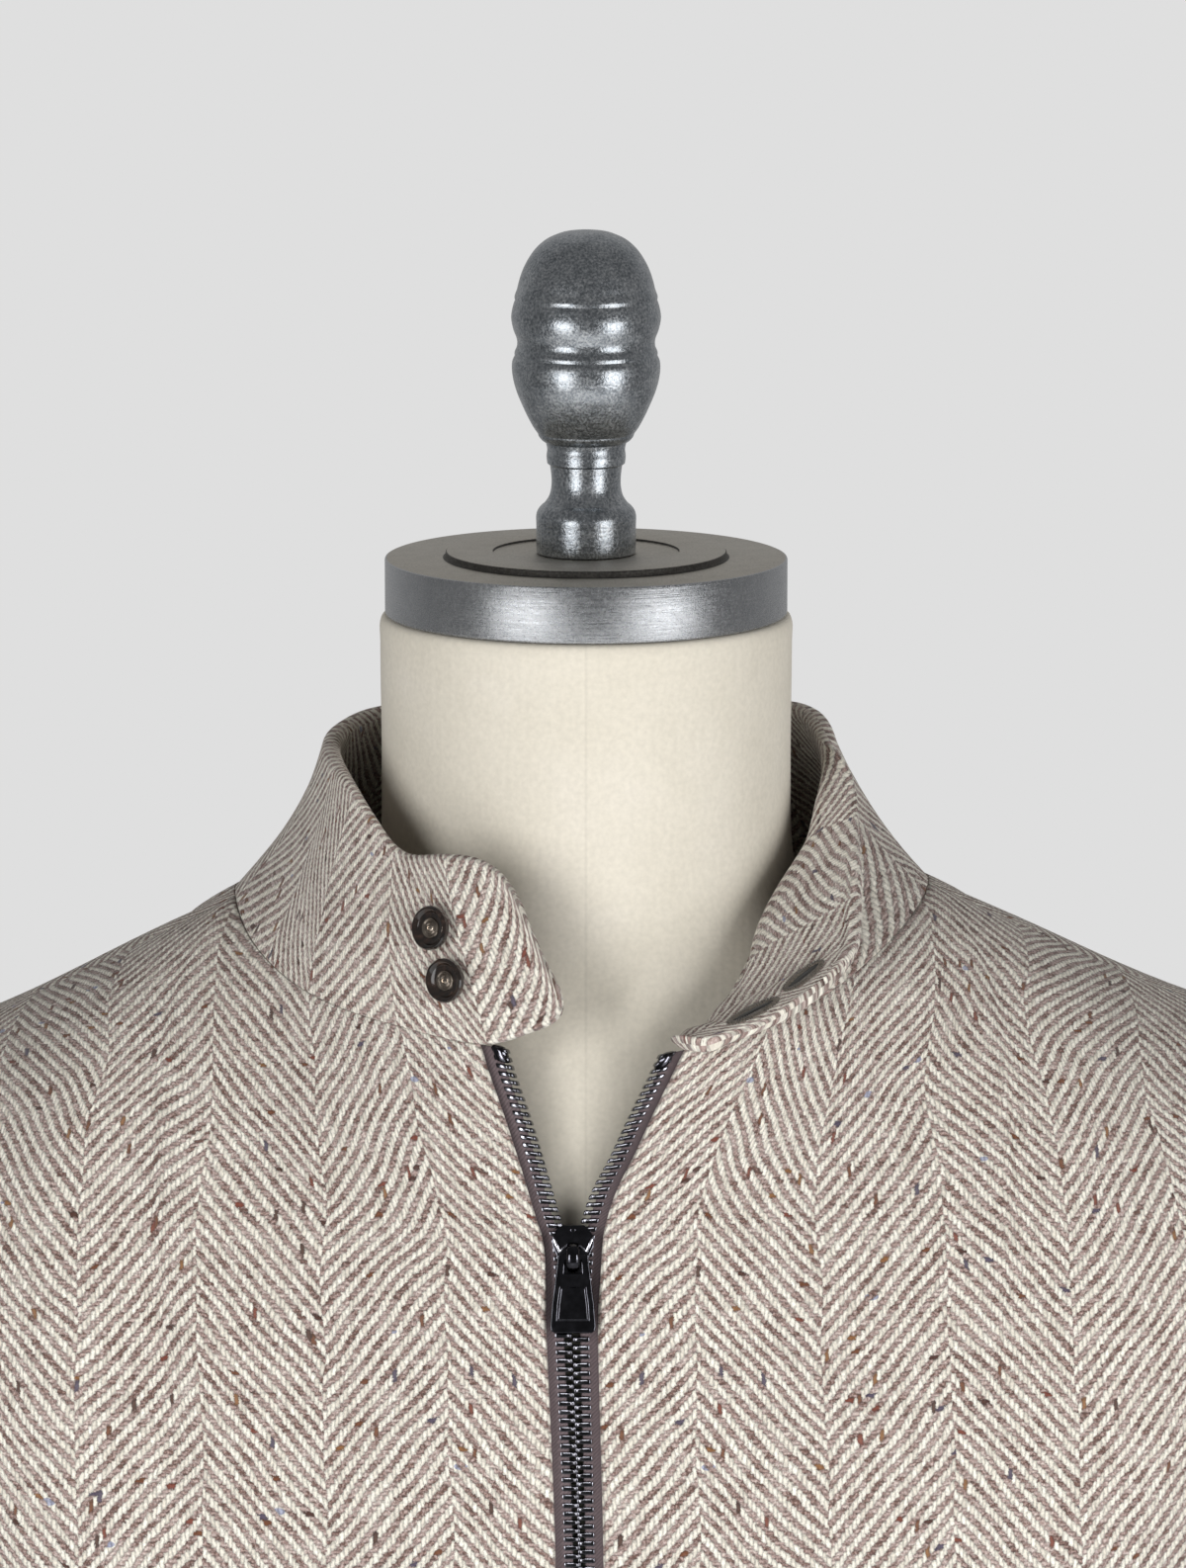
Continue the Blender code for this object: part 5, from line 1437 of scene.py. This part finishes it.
def build_buttons(dark, metal):
    """Two dished buttons on the tab, each with a small metal boss in its dish."""
    profile = ((0.0, 0.0), (4.4, 0.0), (5.6, 0.25), (6.15, 0.8), (BUTTON_RADIUS, 1.6),
               (6.25, 2.3), (5.9, 2.75), (5.4, 2.8), (5.0, 2.55), (4.5, 1.9), (3.6, 1.62),
               (2.4, 1.55), (0.0, 1.5))
    boss_profile = ((3.0, 1.3), (3.0, 1.7), (2.8, 1.95), (2.5, 2.0), (2.2, 1.7), (1.9, 1.65),
                    (1.6, 1.95), (1.3, 2.0), (1.0, 1.75), (0.7, 1.9), (0.4, 2.2), (0.0, 2.25))
    for name, station, height in BUTTON_PLACES:
        here = collar_point(station, height)
        side_way = (collar_point(station + 0.2, height)
                    - collar_point(station - 0.2, height)).normalized()
        rise = (collar_point(station, height + 0.1)
                - collar_point(station, height - 0.1)).normalized()
        out = side_way.cross(rise).normalized()
        if out.y > 0:
            out = -out
        out = (out + side_way * math.tan(BUTTON_TILT) - rise * math.tan(BUTTON_DIP)).normalized()
        matrix = (Matrix.Translation(here + out * (CLEARANCE + BUTTON_LIFT) * MM)
                  @ out.to_track_quat('Z', 'Y').to_matrix().to_4x4())
        button = turned(f"{name}_disc", profile, dark, segments=56)
        settle(button, matrix)
        ready(button, name)
        boss = turned(f"{name}_boss", boss_profile, metal, segments=40)
        settle(boss, matrix)
        ready(boss)


# --- the stand and the form -------------------------------------------------------------
def form_ring(drop, count):
    """Points round the form at a drop: a superellipse with its own front and back."""
    _, half_width, front, back, squareness = row_for(FORM_SECTIONS, drop)
    ring = []
    for step in range(count):
        turn = 2 * math.pi * step / count
        reach = front if math.cos(turn) > 0 else back
        x = half_width * math.copysign(abs(math.sin(turn)) ** (2 / squareness), math.sin(turn))
        y = -reach * math.copysign(abs(math.cos(turn)) ** (2 / squareness), math.cos(turn))
        ring.append(spot(x, y, drop))
    return ring


def build_form(cloth):
    """Torso and neck under canvas, with a rounded lip below the cap and sewn seams."""
    drops = [*FORM_LIP, *range(25, 737, 4), 737.0, 739.0, FORM_FOOT_DROP]
    below_lip = max(FORM_LIP)
    count = 144
    rows = []
    for drop in drops:
        scale = FORM_LIP.get(drop, 1.0)
        rows.append([Vector((p.x * scale, p.y * scale, (CAP_FACE_HEIGHT - drop) * MM))
                     for p in form_ring(max(drop, below_lip), count)])
    faces = [(r * count + c, r * count + (c + 1) % count, (r + 1) * count + (c + 1) % count,
              (r + 1) * count + c) for r in range(len(rows) - 1) for c in range(count)]
    faces.append(tuple(range(count)))
    faces.append(tuple(range((len(rows) - 1) * count, len(rows) * count)))
    thing = mesh_piece("canvas_form", [point for row in rows for point in row], faces, cloth)
    finish_piece(thing, cloth, angle=40)
    ready(thing, "form_body")


def build_stand(enamel, brushed, dull, step_shade, polished):
    """Base plate, pole, neck cap and finial, all turned."""
    t, wide = BASE_THICKNESS, BASE_RADIUS
    base = turned("base_plate", ((0.0, 0.0), (wide - 2, 0.0), (wide - 0.6, 0.6), (wide, 2.0),
                                 (wide, t - 15.5), (wide - 0.8, t - 13.6), (wide - 3, t - 11.8),
                                 (wide - 10, t - 9), (wide * 0.8, t - 6), (wide * 0.55, t - 3),
                                 (wide * 0.3, t - 1.2), (POLE_RADIUS + 9, t), (0.0, t)),
                  enamel, segments=128)
    ready(base, "stand_base")
    foot = t + CLEARANCE
    top = CAP_FACE_HEIGHT - FORM_FOOT_DROP - CLEARANCE
    wide = POLE_RADIUS + 7
    pole = turned("pole", ((0.0, foot), (wide - 0.5, foot), (wide, foot + 0.8), (wide, foot + 28),
                           (wide - 1.4, foot + 30.5), (POLE_RADIUS + 1.0, foot + 33.6),
                           (POLE_RADIUS, foot + 34.2), (POLE_RADIUS, top - 0.8),
                           (POLE_RADIUS - 0.8, top), (0.0, top)), enamel, segments=64)
    ready(pole, "stand_pole")
    rim, step, recess = CAP_RADIUS, CAP_PLATEAU_RADIUS, CAP_RECESS_RADIUS
    cap = turned("cap_disc", ((0.0, -CAP_THICKNESS), (rim - 0.9, -CAP_THICKNESS),
                              (rim - 0.25, 0.3 - CAP_THICKNESS), (rim, 0.9 - CAP_THICKNESS),
                              (rim, -0.5), (rim - 0.15, -0.15), (rim - 0.5, 0.0),
                              (step + 0.7, 0.0), (step + 0.2, 0.15), (step, 0.5),
                              (step - 0.1, CAP_STEP - 0.4), (step - 0.4, CAP_STEP - 0.1),
                              (step - 0.9, CAP_STEP), (recess + 0.6, CAP_STEP),
                              (recess + 0.2, CAP_STEP - 0.15), (recess, CAP_RECESS_STEP + 0.15),
                              (recess - 0.3, CAP_RECESS_STEP), (0.0, CAP_RECESS_STEP)),
                 brushed, segments=160, angle=34)
    cap.data.materials.append(dull)
    cap.data.materials.append(step_shade)
    for face in cap.data.polygons:
        out = math.hypot(*face.center.xy) / MM
        if out < rim - 0.7 and face.center.z > -0.5 * MM:
            # painted shade: the walls of the turned face's steps, and a ring round the plateau's
            # edge, get the dark grey
            unshaded = face.normal.z > 0.75 and not step - 0.3 < out < step + 1.6
            face.material_index = 1 if unshaded else 2
    settle(cap, Matrix.Translation(spot(0, 0, -CAP_RAISE)))
    ready(cap, "neck_cap")
    finial = turned("finial_knob", list(reversed(smooth_profile(FINIAL_PROFILE, 4))), polished,
                    segments=96, angle=24)
    settle(finial, Matrix.Translation(spot(0, 0, -CAP_RAISE - CAP_RECESS_STEP)))
    ready(finial, "finial")


# --- the studio -------------------------------------------------------------------------
def build_studio():
    """A pale floor and surround, two tall softboxes either side of the camera, and lamps that
    only the gloss of the metal sees."""
    deselect_all()
    bpy.ops.mesh.primitive_plane_add(size=6.0, location=(0, 0, 0))
    floor = bpy.context.object
    floor.name = "studio_floor"
    paint = bare_material("studio_floor_painted", Roughness=0.8, Base_Color=linear("#dedede"))[0]
    floor.data.materials.append(paint)
    world = bpy.data.worlds.new("studio")
    bpy.context.scene.world = world
    world.use_nodes = True
    tree = world.node_tree
    back = tree.nodes["Background"]
    # the backdrop glows behind the form, and the room in front and above is dim
    here = put(tree, "TexCoord")
    way = put(tree, "SeparateXYZ", (here.node.outputs["Generated"],))
    level = put(tree, "MapRange", (way.node.outputs[1], 0.05, 0.45, 0.13, 0.62))
    dimmed = put(tree, "MapRange", (way.node.outputs[2], 0.25, 0.7, 1.0, 0.5))
    level = put(tree, "Math", (level, dimmed), 'MULTIPLY')
    seen = put(tree, "LightPath")
    dim = put(tree, "MapRange", (way.node.outputs[1], 0.1, 0.9, 0.2, 0.36))
    level = put(tree, "Mix", {0: seen.node.outputs["Is Glossy Ray"], 2: level, 3: dim})
    level = put(tree, "Mix", {0: seen, 2: level, 3: linear("#dfdfdf")[0]})
    tree.links.new(level, back.inputs["Color"])
    # the dark metal has brighter lamps of its own, which it catches as fine glints
    trims = bpy.data.collections.new("plated_trims")
    teeth = bpy.data.collections.new("plated_teeth")
    for thing in bpy.data.objects:
        if thing.name.startswith(("teeth_", "top_stop_")):
            teeth.objects.link(thing)
        if thing.name.startswith(("teeth_", "top_stop_", "slider_", "pull_tab", "retainer_")) \
                or thing.name.endswith("_boss"):
            trims.objects.link(thing)
    # name, place, width and height, watts, seen by matt things, by gloss, and by these alone
    for name, place, width, height, power, diffuse, glossy, only in (
            ("softbox_left", (-1.45, -2.1, 1.78), 0.45, 1.5, 42.0, True, False, None),
            ("softbox_right", (1.75, -2.1, 1.78), 0.5, 1.5, 40.0, True, False, None),
            ("front_fill", (0.0, -2.6, 0.7), 1.2, 1.2, 29.0, True, False, None),
            ("side_fill", (2.3, -0.9, 1.35), 0.8, 0.8, 10.0, True, False, None),
            ("reflector_left", (-1.5, -2.15, 1.08), 1.2, 1.5, 16.0, False, True, None),
            ("reflector_right", (1.75, -1.8, 1.08), 1.25, 1.5, 16.0, False, True, None),
            ("glint_left", (-1.45, -2.1, 1.9), 0.45, 1.5, 60.0, False, True, trims),
            ("glint_right", (1.75, -2.1, 1.9), 0.45, 1.5, 60.0, False, True, trims),
            ("glint_top", (0.0, -2.2, 2.55), 1.2, 0.35, 28.0, False, True, teeth)):
        light = bpy.data.lights.new(name, 'AREA')
        light.shape = 'RECTANGLE'
        light.size, light.size_y, light.energy = width, height, power
        lamp = bpy.data.objects.new(name, light)
        lamp.location = place
        aim = Vector((0, 0, 1.4)) - lamp.location
        lamp.rotation_euler = aim.to_track_quat('-Z', 'Y').to_euler()
        lamp.visible_diffuse, lamp.visible_glossy = diffuse, glossy
        if only:
            lamp.light_linking.receiver_collection = only
        bpy.context.scene.collection.objects.link(lamp)


def build_camera():
    """The photograph's view: from a little above the cap, with a long lens."""
    camera = bpy.data.cameras.new("camera")
    camera.lens = 175.54
    camera.sensor_width = 36.0
    thing = bpy.data.objects.new("camera", camera)
    thing.location = (0.002, -2.2, 1.8959)
    thing.rotation_euler = (math.radians(79.65), 0.0, 0.0)
    bpy.context.scene.collection.objects.link(thing)
    bpy.context.scene.camera = thing


def main():
    build_camera()
    gloss = metal_gloss()
    brushed = cast_aluminium("cast_aluminium_brushed", ("#aeb1b5", "#babcbf", "#c6c7ca"),
                             (0.2, 0.34), (25.0, 25.0, 2600.0), 1.4, 0.25)
    dull = cast_aluminium("cast_aluminium_dulled", ("#bdb8ad", "#d6d1c7", "#e6e1d8"),
                          (0.42, 0.6), (900.0, 900.0, 900.0), 0.4)
    # painted shade: a dark grey for the walls of the cap's steps
    step_shade = cast_aluminium("cast_aluminium_painted_shade", ("#4e4c49", "#63615d", "#7b7874"),
                            (0.45, 0.65), (900.0, 900.0, 900.0), 0.4)
    polished = cast_aluminium("cast_aluminium_polished", ("#7d8389", "#acb1b6", "#d8dbde"),
                              (0.16, 0.36), (90.0, 90.0, 700.0), 0.5, 1.3)
    build_stand(painted_steel(), brushed, dull, step_shade, polished)
    build_form(canvas())
    wool = woven_herringbone()
    build_body(wool)
    build_collar(wool)
    build_sleeves(wool)
    build_tapes(woven_tape())
    build_teeth(plated("gunmetal_teeth_plated", "#3a3a3d", 0.12, "#58585d"))
    # painted highlight: the slider's V is in a brighter nickel
    build_slider(gloss, plated("black_nickel_painted_highlight", "#7c7c82", 0.22, "#a6a6ab"))
    build_pull(gloss)
    build_retainer(gloss)
    build_buttons(horn(), plated("button_boss_plated", "#847a71", 0.16, "#b3a89b"))
    build_studio()
    bpy.context.scene.view_settings.view_transform = "Standard"


main()
bpy.context.view_layer.update()
